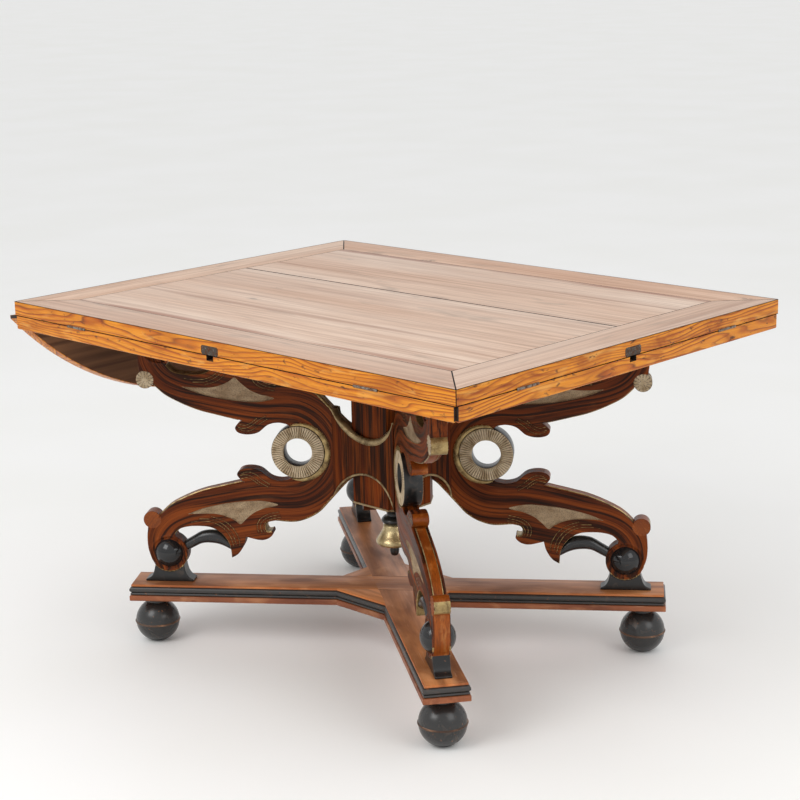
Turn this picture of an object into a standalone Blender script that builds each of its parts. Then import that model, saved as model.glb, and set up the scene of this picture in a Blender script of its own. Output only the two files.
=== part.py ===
"""Gaming table with four fold-under leaves on a cross stretcher and four scroll legs.

Metres, +Z up.  The origin is on the floor at the centre of the footprint.  The hanging leaf stands
proud of the -X edge, so the column's axis lies a little towards +X of the origin (AXIS_X).
Every piece is one closed solid.  Pieces that touch keep GAP between them.
"""
import math

import bpy
from mathutils import Matrix, Vector

# ---------------------------------------------------------------- driving dimensions
GAP = 0.0003                 # left between pieces that touch
TABLE_HEIGHT = 0.770
TOP_LENGTH = 1.272           # along X
TOP_WIDTH = 0.998            # along Y
TOP_THICKNESS = 0.030
RAIL_WIDTH = 0.0985          # border rails round the field boards
FIELD_JOINT_Y = 0.080        # the shrinkage gap between the two field boards
FIELD_JOINT_WIDTH = 0.003

LEAF_THICKNESS = TOP_THICKNESS - GAP
SHORT_LEAF_DEPTH = 0.240     # leaves on the two short edges (-X and +X)
LONG_LEAF_DEPTH = 0.205      # leaves on the two long edges (-Y and +Y)
LEAF_TIP_INSET = 0.006       # how far a leaf's blunt tip stays from the corner
LEAF_STEPS = 20              # facets along a leaf's curve

HINGE_LENGTH = 0.060
HINGE_PLATE_DEPTH = 0.026
HINGE_PLATE_THICKNESS = 0.0018
HINGE_KNUCKLE = 0.020        # length of each outer knuckle
KNUCKLE_RADIUS = 0.0034
LONG_HINGE_OFFSET = 0.420    # hinges from the middle of a long edge
SHORT_HINGE_OFFSET = 0.310   # hinges from the middle of a short edge

CATCH_SIZE = (0.050, 0.0025, 0.019)      # along the edge, into it, high
POCKET_SIZE = (0.020, 0.014, 0.011)      # the catch's pocket in the leaf's edge

ARM_ANGLE = math.radians(36.8)           # the legs' directions from the X axis
BEAM_HALF_LENGTH = 0.581
BEAM_HALF_WIDTH = 0.043
BEAM_BOTTOM, BEAM_TOP = 0.104, 0.141
GUSSET_REACH = 0.123                     # along each beam from the axis

FOOT_RADIUS = 0.048
FOOT_REACH = 0.536                       # from the axis, along a beam
FOOT_NECK_RADIUS = 0.020
FOOT_FLAT_RADIUS = 0.014

LEG_THICKNESS = 0.034
LEG_INNER_R = 0.0845
RING_CENTRE_R, RING_RADIUS, RING_HOLE_RADIUS, RING_THICKNESS = 0.203, 0.058, 0.031, 0.040
SCROLL_CENTRE = (0.4985, 0.2065)         # the foot scroll's disc, distance out and height
SCROLL_RADIUS = 0.042
SHOULDER_CENTRE = (0.532, 0.2825)        # the ribbed bead at the leg's shoulder
SHOULDER_RADIUS = 0.0195
BALL_RADIUS = 0.0355
HORN_HALF_WIDTH = 0.014

COLUMN_BOTTOM = 0.330
COLUMN_X, COLUMN_Y = 0.081, 0.070        # from the axis to the column's main faces
COLUMN_CORNER_X, COLUMN_CORNER_Y = 0.051, 0.030
COVE_REACH = 0.126                       # how far out along a leg the hub's coves run
COVE_LIP = 0.002
COVES = {"x": (0.060, 0.014), "y": (0.050, 0.012)}    # by face: inside of the block, depth
COVE_WAIST = 0.0355                      # half the hub's height at the middle of a cove
COVE_RISE = 0.061                        # how much further it runs up and down at the legs

PENDANT_BOTTOM = 0.205
HORN_SINK = 0.006                        # how far a horn's ends run into the board
CUT_CLEAR = 0.01                         # how far a cutter passes beyond the piece it cuts
BED_CLEAR = 0.001                        # the same, where another piece is close by

# ---------------------------------------------------------------- worked-out places
UNDERSIDE = TABLE_HEIGHT - TOP_THICKNESS
LEG_MID = (BEAM_TOP + UNDERSIDE) / 2     # the legs are symmetric about this height
HINGE_OUT = GAP                          # hinge axes stand this far outside the edges


def segment_radius(half_chord, depth):
    """Radius of the circle whose arc has this half chord and depth."""
    return (half_chord ** 2 + depth ** 2) / (2 * depth)


def segment_centroid(half_chord, depth):
    """Distance of a circular segment's centroid from its chord."""
    radius = segment_radius(half_chord, depth)
    half_angle = math.asin(half_chord / radius)
    area = radius ** 2 * (half_angle - math.sin(half_angle) * math.cos(half_angle))
    return (2 * half_chord) ** 3 / (12 * area) - (radius - depth)


# A leaf hangs with its centre of mass under its hinge: this is its angle from folded.
HANG_ANGLE = math.pi / 2 - math.atan((GAP + LEAF_THICKNESS / 2)
                                     / segment_centroid(TOP_WIDTH / 2, SHORT_LEAF_DEPTH))
HANG_PROUD = HINGE_OUT + (GAP + LEAF_THICKNESS) * math.sin(HANG_ANGLE)
AXIS_X = (HANG_PROUD - HINGE_OUT - KNUCKLE_RADIUS) / 2


# ---------------------------------------------------------------- helpers
def clear_scene():
    for old in list(bpy.data.objects):
        bpy.data.objects.remove(old, do_unlink=True)


def finish(name, color, roughness, metallic=0.0):
    """A Principled material with one colour."""
    mat = bpy.data.materials.new(name)
    mat.use_nodes = True
    shader = mat.node_tree.nodes["Principled BSDF"]
    shader.inputs["Base Color"].default_value = (*color, 1.0)
    shader.inputs["Roughness"].default_value = roughness
    shader.inputs["Metallic"].default_value = metallic
    return mat


FINISHES = {
    "pine_top": ((0.62, 0.42, 0.29), 0.45),
    "pine_edge": ((0.66, 0.31, 0.05), 0.35),
    "rosewood": ((0.17, 0.045, 0.018), 0.38),
    "worn_brown": ((0.24, 0.10, 0.05), 0.5),
    "black": ((0.012, 0.012, 0.013), 0.3),
    "gilt": ((0.28, 0.20, 0.10), 0.45, 0.4),
    "iron": ((0.10, 0.075, 0.055), 0.6, 0.7),
}


def place(name, mesh, look, parent=None, matrix=None):
    """Add one piece, with a material of its own."""
    piece = bpy.data.objects.new(name, mesh)
    bpy.context.scene.collection.objects.link(piece)
    piece.data.materials.clear()
    piece.data.materials.append(finish(name + "_finish", *FINISHES[look]))
    if matrix is not None:
        piece.matrix_local = matrix
    if parent is not None:
        piece.parent = parent
    return piece


def empty(name, matrix, parent=None):
    guide = bpy.data.objects.new(name, None)
    bpy.context.scene.collection.objects.link(guide)
    guide.parent = parent
    guide.matrix_local = matrix
    return guide


def mesh_of(name, points, faces):
    """A mesh whose faces point outwards, from points and faces in either turning sense."""
    mesh = bpy.data.meshes.new(name)
    mesh.from_pydata([tuple(p) for p in points], [], faces)
    mesh.update()
    volume = 0.0
    mesh.calc_loop_triangles()
    for tri in mesh.loop_triangles:
        a, b, c = (mesh.vertices[i].co for i in tri.vertices)
        volume += a.dot(b.cross(c))
    if volume < 0:
        mesh.flip_normals()
    return mesh


def loft(name, rings, smooth_angle=None):
    """Join rings of equal length, and cap the first and the last with one face each."""
    count = len(rings[0])
    points = [p for ring in rings for p in ring]
    faces = []
    for i in range(len(rings) - 1):
        for j in range(count):
            k = (j + 1) % count
            faces.append((i * count + j, i * count + k, (i + 1) * count + k, (i + 1) * count + j))
    faces.append(tuple(reversed(range(count))))
    faces.append(tuple(range((len(rings) - 1) * count, len(rings) * count)))
    mesh = mesh_of(name, points, faces)
    if smooth_angle:
        mesh.shade_smooth()
        mesh.set_sharp_from_angle(angle=math.radians(smooth_angle))
    return mesh


def turned(name, profile, sides):
    """A turned solid: profile is (radius, height) from the bottom up, with flat ends."""
    rings = []
    for radius, height in profile:
        rings.append([(radius * math.cos(2 * math.pi * k / sides),
                       radius * math.sin(2 * math.pi * k / sides), height) for k in range(sides)])
    return loft(name, rings, 35)


def box(name, low, high):
    rings = [[(low[0], low[1], z), (high[0], low[1], z), (high[0], high[1], z), (low[0], high[1], z)]
             for z in (low[2], high[2])]
    return loft(name, rings)


def cutter(name, mesh, parent=None, matrix=None):
    """A guide that other pieces are cut with: it isn't part of the table."""
    guide = bpy.data.objects.new(name, mesh)
    bpy.context.scene.collection.objects.link(guide)
    guide.hide_render = True
    guide.display_type = "WIRE"
    guide.parent = parent
    if matrix is not None:
        guide.matrix_local = matrix
    return guide


def combine(piece, other, operation):
    step = piece.modifiers.new(operation.lower(), "BOOLEAN")
    step.operation = operation
    step.solver = "EXACT"
    step.object = other


def arc(centre, radius, start, end, steps):
    """Points on a circle, angles in degrees, both ends included."""
    angles = [math.radians(start + (end - start) * k / steps) for k in range(steps + 1)]
    return [(centre[0] + radius * math.cos(a), centre[1] + radius * math.sin(a)) for a in angles]


def flowing(points, steps=1):
    """A smooth curve through the points (Catmull-Rom), both ends included."""
    padded = [points[0]] + list(points) + [points[-1]]
    curve = []
    for i in range(1, len(padded) - 2):
        a, b, c, d = (Vector(p) for p in padded[i - 1:i + 3])
        for k in range(steps):
            t = k / steps
            p = 0.5 * (2 * b + (c - a) * t + (2 * a - 5 * b + 4 * c - d) * t ** 2
                       + (3 * b - a - 3 * c + d) * t ** 3)
            curve.append((p.x, p.y))
    curve.append(tuple(points[-1]))
    return curve


def joined(*strokes):
    """One outline from strokes, without the points that two strokes share."""
    outline = []
    for stroke in strokes:
        for point in stroke:
            if not outline or (Vector(point) - Vector(outline[-1])).length > 1e-5:
                outline.append(point)
    return outline


def turned_about_z(angle, where=(0, 0, 0)):
    return Matrix.Translation(Vector(where)) @ Matrix.Rotation(angle, 4, "Z")


# ---------------------------------------------------------------- base
# How far the moulded edge stands out from the beam's top slab, by height.
EDGE_PROFILE = [(0.0, BEAM_TOP), (0.0, 0.1365), (-0.002, 0.1355), (0.0025, 0.1325), (0.003, 0.1305),
                (-0.0005, 0.1262), (0.003, 0.1225), (0.0025, 0.1195), (-0.001, 0.1168),
                (0.004, 0.1160), (0.004, BEAM_BOTTOM)]


def beam_mesh(name):
    """A stretcher along X with its moulding run round all four sides."""
    rings = []
    for out, z in EDGE_PROFILE:
        x, y = BEAM_HALF_LENGTH + out, BEAM_HALF_WIDTH + out
        rings.append([(-x, -y, z), (x, -y, z), (x, y, z), (-x, y, z)])
    return loft(name, rings)


def gusset_mesh(name, half_angle):
    """The corner block between two beams at +-half_angle from +X, moulded on its outer side."""
    rings = []
    reach_x = GUSSET_REACH * math.cos(half_angle) + BEAM_HALF_WIDTH * math.sin(half_angle)
    for out, z in EDGE_PROFILE:
        side = BEAM_HALF_WIDTH + out + GAP
        tip_x = side / math.sin(half_angle)
        front_x = reach_x + out
        front_y = (front_x - tip_x) * math.tan(half_angle)
        rings.append([(tip_x, 0, z), (front_x, -front_y, z), (front_x, front_y, z)])
    return loft(name, rings)


def foot_mesh():
    """A ball foot with a thin bead round its middle, a small flat below and a neck above."""
    def on_ball(angle):
        return (FOOT_RADIUS * math.cos(angle), FOOT_RADIUS * (1 + math.sin(angle)))
    low = -math.acos(FOOT_FLAT_RADIUS / FOOT_RADIUS)
    high = math.acos(FOOT_NECK_RADIUS / FOOT_RADIUS)
    bead = math.radians(3.5)
    rows = 4
    below = [on_ball(low + (-bead - low) * k / rows) for k in range(rows + 1)]
    above = [on_ball(bead + (high - bead) * k / rows) for k in range(rows + 1)]
    rim = [(FOOT_RADIUS + 0.0018, FOOT_RADIUS - 0.0016), (FOOT_RADIUS + 0.0018, FOOT_RADIUS + 0.0016)]
    drop = below[0][1]
    profile = [(r, z - drop) for r, z in below + rim + above]
    profile.append((FOOT_NECK_RADIUS, BEAM_BOTTOM - GAP))
    return turned("ball_foot", profile, 16)


def build_base(root):
    beams = {}
    half = (BEAM_TOP + BEAM_BOTTOM) / 2
    length, width = BEAM_HALF_LENGTH, BEAM_HALF_WIDTH + EDGE_PROFILE[-1][0] + GAP
    for name, turn in (("through_stretcher", 1), ("lapped_stretcher", -1)):
        beams[name] = place(name, beam_mesh(name), "worn_brown", root, turned_about_z(turn * ARM_ANGLE))
    lower = box("lower_notch", (-length, -width, BEAM_BOTTOM - CUT_CLEAR), (length, width, half + GAP / 2))
    upper = box("upper_notch", (-length, -width, half - GAP / 2), (length, width, BEAM_TOP + CUT_CLEAR))
    combine(beams["through_stretcher"],
            cutter("lower_notch", lower, root, turned_about_z(-ARM_ANGLE)), "DIFFERENCE")
    combine(beams["lapped_stretcher"],
            cutter("upper_notch", upper, root, turned_about_z(ARM_ANGLE)), "DIFFERENCE")

    across = math.pi / 2 - ARM_ANGLE
    for name, turn, half_angle in (("right", 0, ARM_ANGLE), ("back", 90, across),
                                   ("left", 180, ARM_ANGLE), ("front", 270, across)):
        mesh = gusset_mesh("gusset", half_angle)
        place(name + "_gusset", mesh, "worn_brown", root, turned_about_z(math.radians(turn)))

    foot = foot_mesh()
    for name, angle in LEGS:
        spot = (FOOT_REACH * math.cos(angle), FOOT_REACH * math.sin(angle), 0)
        place(name + "_ball_foot", foot.copy(), "black", root, turned_about_z(angle, spot))


# ---------------------------------------------------------------- legs
LEGS = (("near", -ARM_ANGLE), ("right", ARM_ANGLE), ("far", math.pi - ARM_ANGLE),
        ("left", math.pi + ARM_ANGLE))


def lower_half_outline():
    """The leg board's outline below its middle, as (distance out, height)."""
    ring_hollow = arc((RING_CENTRE_R, LEG_MID), RING_RADIUS + GAP, 180, 285, 8)
    tongue = flowing([ring_hollow[-1], (0.2270, 0.3785), (0.2460, 0.3757), (0.2670, 0.3810),
                      (0.2880, 0.3975), (0.3110, 0.4025), (0.3310, 0.3990), (0.3385, 0.3890),
                      (0.3330, 0.3795), (0.3225, 0.3715)])
    arm_top = flowing([(0.3225, 0.3715), (0.3830, 0.3570), (0.4190, 0.3475), (0.4560, 0.3325),
                       (0.4900, 0.3140), (0.5160, 0.2900)], 2)
    shoulder = arc(SHOULDER_CENTRE, SHOULDER_RADIUS, 150, -57, 7)
    heel = flowing([shoulder[-1], (0.5455, 0.2405), (0.5440, 0.2140), (0.5365, 0.1900)])
    pad_outer = flowing([(0.5306, 0.1795), (0.5400, 0.1640), (0.5530, BEAM_TOP + GAP)])
    pad_inner = flowing([(0.4465, BEAM_TOP + GAP), (0.4580, 0.1630), (0.4663, 0.1795)])
    scroll = arc(SCROLL_CENTRE, SCROLL_RADIUS, 215, 114, 5)
    scallop = flowing([(0.4835, 0.2505), (0.4700, 0.2630), (0.4495, 0.2685), (0.4265, 0.2695),
                       (0.4020, 0.2670), (0.3815, 0.2560), (0.3670, 0.2390), (0.3600, 0.2210),
                       (0.3580, 0.1980)])
    claw = flowing([(0.3580, 0.1980), (0.3425, 0.2080), (0.3300, 0.2270), (0.3245, 0.2470)])
    lobe = flowing([(0.3245, 0.2470), (0.2940, 0.2400), (0.2755, 0.2435), (0.2645, 0.2535),
                    (0.2660, 0.2620)])
    curl = flowing([(0.2660, 0.2620), (0.2755, 0.2605), (0.2795, 0.2695), (0.2750, 0.2800),
                    (0.2585, 0.2845)])
    inner_edge = flowing([(0.2585, 0.2845), (0.2175, 0.2820), (0.1855, 0.2905), (0.1590, 0.3065),
                          (0.1375, 0.3295), (0.1005, 0.3705), (LEG_INNER_R, 0.3835)], 2)
    return joined(ring_hollow, tongue, arm_top, shoulder, heel, pad_outer, pad_inner, scroll, scallop,
                  claw, lobe, curl, inner_edge)


def leg_outline(grow=0.0):
    """The whole board: the lower half and its mirror image above the middle."""
    lower = lower_half_outline()
    upper = [(r, 2 * LEG_MID - z) for r, z in reversed(lower[1:])]
    outline = lower + upper
    return offset_outline(outline, grow) if grow else outline


def offset_outline(outline, distance):
    """Move each point of a closed outline outwards along the mean of its two edges' normals."""
    area = sum(a[0] * b[1] - b[0] * a[1] for a, b in zip(outline, outline[1:] + outline[:1]))
    sign = 1 if area > 0 else -1
    moved = []
    for i, here in enumerate(outline):
        before, after = Vector(outline[i - 1]), Vector(outline[(i + 1) % len(outline)])
        along = (after - before).normalized()
        moved.append((here[0] + sign * along.y * distance, here[1] - sign * along.x * distance))
    return moved


def board_mesh(name, outline, half_thickness):
    """A board in the XZ plane, cut to the outline."""
    return loft(name, [[(r, side, z) for r, z in outline] for side in (-half_thickness, half_thickness)])


def horn_mesh(name, upper, reach=HORN_SINK):
    """The horn between foot scroll and claw: oval sections between its two curved edges."""
    outer = flowing([(0.4640 + reach, 0.2280), (0.4470, 0.2420), (0.4250, 0.2540), (0.4000, 0.2570),
                     (0.3800, 0.2515), (0.3600 - reach, 0.2295)])
    inner = flowing([(0.4570 + reach, 0.2070), (0.4450, 0.2165), (0.4250, 0.2260), (0.4020, 0.2270),
                     (0.3800, 0.2220), (0.3560 - reach, 0.2080)])
    rings = []
    for (r0, z0), (r1, z1) in zip(outer, inner):
        ring = []
        for k in range(8):
            angle = 2 * math.pi * k / 8
            mid_r, mid_z = (r0 + r1) / 2, (z0 + z1) / 2
            r = mid_r + (r0 - r1) / 2 * math.sin(angle)
            z = mid_z + (z0 - z1) / 2 * math.sin(angle)
            ring.append((r, HORN_HALF_WIDTH * math.cos(angle), 2 * LEG_MID - z if upper else z))
        rings.append(ring)
    return loft(name, rings, 50)


def ring_mesh(name):
    """A flat ring with bevelled rims, its axis across the leg."""
    half, bevel, sides = RING_THICKNESS / 2, 0.003, 28
    profile = [(RING_RADIUS - bevel, -half), (RING_RADIUS, bevel - half), (RING_RADIUS, half - bevel),
               (RING_RADIUS - bevel, half), (RING_HOLE_RADIUS, half), (RING_HOLE_RADIUS, -half)]
    points, faces, count = [], [], len(profile)
    for k in range(sides):
        angle = 2 * math.pi * k / sides
        points += [(r * math.cos(angle), y, r * math.sin(angle)) for r, y in profile]
    for k in range(sides):
        n = (k + 1) % sides
        for j in range(count):
            m = (j + 1) % count
            faces.append((k * count + j, k * count + m, n * count + m, n * count + j))
    mesh = mesh_of(name, points, faces)
    mesh.shade_smooth()
    mesh.set_sharp_from_angle(angle=math.radians(35))
    return mesh


def ball_mesh(name, radius, sides=14, rows=8):
    """A ball with small flats at its two poles, its axis across the leg."""
    profile = []
    for k in range(rows + 1):
        angle = -1.45 + 2.9 * k / rows
        profile.append((radius * math.cos(angle), radius * math.sin(angle)))
    return turned(name, profile, sides)


def build_legs(root):
    outline = leg_outline()
    across = Matrix.Rotation(math.pi / 2, 4, "X")
    at_ball = Matrix.Translation(Vector((SCROLL_CENTRE[0], 0, SCROLL_CENTRE[1]))) @ across
    at_ring = Matrix.Translation(Vector((RING_CENTRE_R, 0, LEG_MID)))
    for name, angle in LEGS:
        stand = empty(name + "_leg_stand", turned_about_z(angle), root)
        board = place(name + "_leg_board", board_mesh("leg_board", outline, LEG_THICKNESS / 2),
                      "rosewood", stand, Matrix())
        socket = cutter(name + "_ball_socket", ball_mesh("ball_socket", BALL_RADIUS + GAP), stand, at_ball)
        combine(board, socket, "DIFFERENCE")
        upper_horn = cutter(name + "_upper_horn", horn_mesh("upper_horn", True), stand, Matrix())
        combine(board, upper_horn, "UNION")

        horn = place(name + "_horn", horn_mesh("horn", False), "black", stand, Matrix())
        blank = board_mesh("horn_scribe", leg_outline(GAP), LEG_THICKNESS / 2 + BED_CLEAR)
        combine(horn, cutter(name + "_horn_scribe", blank, stand, Matrix()), "DIFFERENCE")
        place(name + "_scroll_ball", ball_mesh("scroll_ball", BALL_RADIUS), "black", stand, at_ball)
        place(name + "_fluted_ring", ring_mesh("fluted_ring"), "gilt", stand, at_ring)


# ---------------------------------------------------------------- column
def cove_mesh(name, half_angle, core, depth):
    """The hub's block between two legs at +-half_angle from +X: hollow in front, waisted in height."""
    side = LEG_THICKNESS / 2 + GAP
    cos_a, sin_a = math.cos(half_angle), math.sin(half_angle)
    half_span = COVE_REACH * sin_a - side * cos_a
    front = COVE_REACH * cos_a + side * sin_a + COVE_LIP
    hollow = segment_radius(half_span, depth)
    rise = min(COVE_RISE, half_span * 0.98)
    sweep = segment_radius(half_span, rise)
    rings, steps = [], 12
    for k in range(steps + 1):
        y = half_span * math.sin(math.pi / 2 * (2 * k / steps - 1))
        outer = front - depth + (hollow - math.sqrt(hollow ** 2 - y ** 2))
        along_leg = (abs(y) + side * cos_a) / sin_a
        inner = max(core, along_leg * cos_a + side * sin_a)
        height = COVE_WAIST + sweep - math.sqrt(max(sweep ** 2 - y ** 2, 0))
        rings.append([(inner, y, LEG_MID - height), (outer, y, LEG_MID - height),
                      (outer, y, LEG_MID + height), (inner, y, LEG_MID + height)])
    return loft(name, rings)


def build_column(root):
    corners = [(COLUMN_X, COLUMN_CORNER_Y), (COLUMN_CORNER_X, COLUMN_Y)]
    plan = corners + [(-x, y) for x, y in reversed(corners)]
    plan += [(-x, -y) for x, y in corners] + [(x, -y) for x, y in reversed(corners)]
    shaft = [[(x, y, z) for x, y in plan] for z in (COLUMN_BOTTOM, UNDERSIDE - GAP)]
    column = place("column", loft("column", shaft), "rosewood", root, Matrix())
    across = math.pi / 2 - ARM_ANGLE
    for k, (turn, half_angle, core, depth) in enumerate((
            (0, ARM_ANGLE, *COVES["x"]), (90, across, *COVES["y"]),
            (180, ARM_ANGLE, *COVES["x"]), (270, across, *COVES["y"]))):
        block = cutter("cove_block_%d" % k, cove_mesh("cove_block", half_angle, core, depth), root,
                       turned_about_z(math.radians(turn)))
        combine(column, block, "UNION")

    neck = [(0.030, COLUMN_BOTTOM - GAP), (0.026, 0.320), (0.017, 0.306), (0.016, 0.298),
            (0.023, 0.293), (0.027, 0.286), (0.020, 0.277)]
    bell = [(0.024, 0.268), (0.033, 0.254), (0.040, 0.242), (0.038, 0.235), (0.010, 0.231)]
    tip = [(0.0095, 0.213), (0.0040, PENDANT_BOTTOM)]
    place("pendant", turned("pendant", list(reversed(neck + bell + tip)), 16), "gilt", root, Matrix())


# ---------------------------------------------------------------- top
def hinge_mesh(name, moving):
    """One half of a butt hinge, its pin on the X axis.  The plate runs to +Y, above or below the pin."""
    half, knuckle = HINGE_LENGTH / 2, HINGE_LENGTH / 2 - HINGE_KNUCKLE
    clear = KNUCKLE_RADIUS + GAP
    start = HINGE_OUT + GAP
    if moving:
        plan = [(-half, clear), (-knuckle + GAP, clear), (-knuckle + GAP, start), (knuckle - GAP, start),
                (knuckle - GAP, clear), (half, clear), (half, HINGE_PLATE_DEPTH),
                (-half, HINGE_PLATE_DEPTH)]
        low, high = -GAP - HINGE_PLATE_THICKNESS, -GAP
        spans = [(-knuckle + GAP, knuckle - GAP)]
    else:
        plan = [(-half, start), (-knuckle, start), (-knuckle, clear), (knuckle, clear), (knuckle, start),
                (half, start), (half, HINGE_PLATE_DEPTH), (-half, HINGE_PLATE_DEPTH)]
        low, high = GAP, GAP + HINGE_PLATE_THICKNESS
        spans = [(-half, -knuckle), (knuckle, half)]
    plate = loft(name, [[(x, y, z) for x, y in plan] for z in (low, high)])
    barrels = []
    for x0, x1 in spans:
        ring = [(KNUCKLE_RADIUS * math.cos(2 * math.pi * k / 8),
                 KNUCKLE_RADIUS * math.sin(2 * math.pi * k / 8)) for k in range(8)]
        barrels.append(loft(name + "_knuckle", [[(x, y, z) for y, z in ring] for x in (x0, x1)], 50))
    return plate, barrels


def leaf_mesh(name, half_chord, depth):
    """A leaf folded under its edge: its hinge edge along X, its curve towards +Y."""
    radius = segment_radius(half_chord, depth)
    reach = half_chord - LEAF_TIP_INSET
    start = HINGE_OUT
    half_angle = math.asin(reach / radius)
    curve = []
    for k in range(LEAF_STEPS + 1):
        angle = half_angle * (1 - 2 * k / LEAF_STEPS)
        curve.append((radius * math.sin(angle), radius * math.cos(angle) - (radius - depth) + start))
    outline = [(-reach, start), (reach, start)] + curve
    return loft(name, [[(x, y, z) for x, y in outline] for z in (-GAP - LEAF_THICKNESS, -GAP)])


def rail_mesh(name, half_length):
    """A mitred border rail: its outer edge along X at y = HINGE_OUT, its body towards +Y."""
    outer = half_length - GAP / 2
    plan = [(-outer, HINGE_OUT), (outer, HINGE_OUT), (outer - RAIL_WIDTH, HINGE_OUT + RAIL_WIDTH),
            (-outer + RAIL_WIDTH, HINGE_OUT + RAIL_WIDTH)]
    return loft(name, [[(x, y, z) for x, y in plan] for z in (0.0, TOP_THICKNESS)])


def build_edge(root, name, turn, half_length, inset, depth, hinge_offset, leaf_angle):
    """One edge of the top: rail, catch plate, leaf and its two hinges.

    The edge's frame has its origin on the hinge axis at the middle of the edge, +Y into the table.
    """
    there = Matrix.Rotation(turn, 4, "Z") @ Matrix.Translation(Vector((0, -inset - HINGE_OUT, UNDERSIDE)))
    edge = empty(name + "_edge_axis", there, root)
    swing = empty(name + "_leaf_axis", Matrix.Rotation(-leaf_angle, 4, "X"), edge)

    rail = place(name + "_rail", rail_mesh("rail", half_length), "pine_edge", edge, Matrix())
    leaf = place(name + "_leaf", leaf_mesh("leaf", half_length, depth), "pine_edge", swing, Matrix())

    catch_x, catch_y, catch_z = CATCH_SIZE
    catch = box("catch_plate", (-catch_x / 2, HINGE_OUT, 0), (catch_x / 2, HINGE_OUT + catch_y, catch_z))
    place(name + "_catch_plate", catch, "iron", edge, Matrix())
    recess = box("catch_recess", (-catch_x / 2 - GAP, -CUT_CLEAR, -CUT_CLEAR),
                 (catch_x / 2 + GAP, HINGE_OUT + catch_y + GAP, catch_z + GAP))
    combine(rail, cutter(name + "_catch_recess", recess, edge, Matrix()), "DIFFERENCE")
    wide, deep, high = POCKET_SIZE
    pocket = box("catch_pocket", (-wide / 2, -CUT_CLEAR, -high), (wide / 2, deep, CUT_CLEAR))
    combine(leaf, cutter(name + "_catch_pocket", pocket, swing, Matrix()), "DIFFERENCE")

    half, clear = HINGE_LENGTH / 2 + GAP, KNUCKLE_RADIUS + GAP
    plate_z = HINGE_PLATE_THICKNESS + 2 * GAP
    for side, x in (("a", -hinge_offset), ("b", hinge_offset)):
        spot = Matrix.Translation(Vector((x, 0, 0)))
        for part, parent, moving in (("rail", edge, False), ("leaf", swing, True)):
            label = "%s_%s_hinge_%s" % (name, part, side)
            plate, barrels = hinge_mesh("hinge_" + part, moving)
            hinge = place(label, plate, "iron", parent, spot)
            for k, barrel in enumerate(barrels):
                combine(hinge, cutter("%s_knuckle_%d" % (label, k), barrel, parent, spot), "UNION")
        for body, parent, up in ((rail, edge, 1), (leaf, swing, -1)):
            zs = sorted((-BED_CLEAR * up, plate_z * up))
            plate_bed = box("plate_bed", (-half, -BED_CLEAR, zs[0]), (half, HINGE_PLATE_DEPTH + GAP, zs[1]))
            zs = sorted((-BED_CLEAR * up, clear * up))
            barrel_bed = box("barrel_bed", (-half, -BED_CLEAR, zs[0]), (half, clear, zs[1]))
            for kind, bed in (("plate", plate_bed), ("barrel", barrel_bed)):
                guide = cutter("%s_%s_%s_bed_%s" % (name, body.name, kind, side), bed, parent, spot)
                combine(body, guide, "DIFFERENCE")


def build_top(root):
    field_x = TOP_LENGTH / 2 - RAIL_WIDTH - GAP
    field_y = TOP_WIDTH / 2 - RAIL_WIDTH - GAP
    low = FIELD_JOINT_Y - FIELD_JOINT_WIDTH / 2
    high = FIELD_JOINT_Y + FIELD_JOINT_WIDTH / 2
    for name, y0, y1 in (("front_field_board", -field_y, low), ("back_field_board", high, field_y)):
        mesh = box(name, (-field_x, y0, UNDERSIDE), (field_x, y1, TABLE_HEIGHT))
        place(name, mesh, "pine_top", root, Matrix())

    long_edge = (TOP_LENGTH / 2, TOP_WIDTH / 2, LONG_LEAF_DEPTH, LONG_HINGE_OFFSET)
    short_edge = (TOP_WIDTH / 2, TOP_LENGTH / 2, SHORT_LEAF_DEPTH, SHORT_HINGE_OFFSET)
    for name, turn, sizes, leaf_angle in (("front", 0, long_edge, 0.0), ("right", 90, short_edge, 0.0),
                                          ("back", 180, long_edge, 0.0),
                                          ("left", 270, short_edge, HANG_ANGLE)):
        build_edge(root, name, math.radians(turn), *sizes, leaf_angle)


def main():
    clear_scene()
    root = empty("table_axis", Matrix.Translation(Vector((AXIS_X, 0, 0))))
    build_base(root)
    build_legs(root)
    build_column(root)
    build_top(root)


main()
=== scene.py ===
"""Gaming table with four fold-under leaves: the carved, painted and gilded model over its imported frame.

Metres, +Z up, in the frame's own axes.  Every piece is a surface worked out with numpy and rides on
one of the frame's bodies.
"""
import logging
import math
from dataclasses import dataclass, field
from enum import Enum, IntEnum
from typing import Sequence

import bpy
import numpy as np
from mathutils import Matrix, Vector
from mathutils.geometry import delaunay_2d_cdt


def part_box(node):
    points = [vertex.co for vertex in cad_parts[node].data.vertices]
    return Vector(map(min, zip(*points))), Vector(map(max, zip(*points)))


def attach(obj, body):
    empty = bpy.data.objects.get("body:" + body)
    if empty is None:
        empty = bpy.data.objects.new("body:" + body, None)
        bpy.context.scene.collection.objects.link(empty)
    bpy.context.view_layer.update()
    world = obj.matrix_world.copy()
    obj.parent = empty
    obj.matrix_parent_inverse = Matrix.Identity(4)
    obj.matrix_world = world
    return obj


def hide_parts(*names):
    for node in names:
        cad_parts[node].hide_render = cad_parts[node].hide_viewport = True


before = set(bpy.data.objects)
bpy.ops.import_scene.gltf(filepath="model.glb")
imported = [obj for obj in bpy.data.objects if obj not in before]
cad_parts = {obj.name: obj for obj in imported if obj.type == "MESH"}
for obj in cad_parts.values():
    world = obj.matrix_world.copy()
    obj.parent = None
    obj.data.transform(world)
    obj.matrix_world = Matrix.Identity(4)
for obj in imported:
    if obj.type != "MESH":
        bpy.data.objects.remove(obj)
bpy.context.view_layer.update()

log = logging.getLogger("gaming_table")

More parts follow.
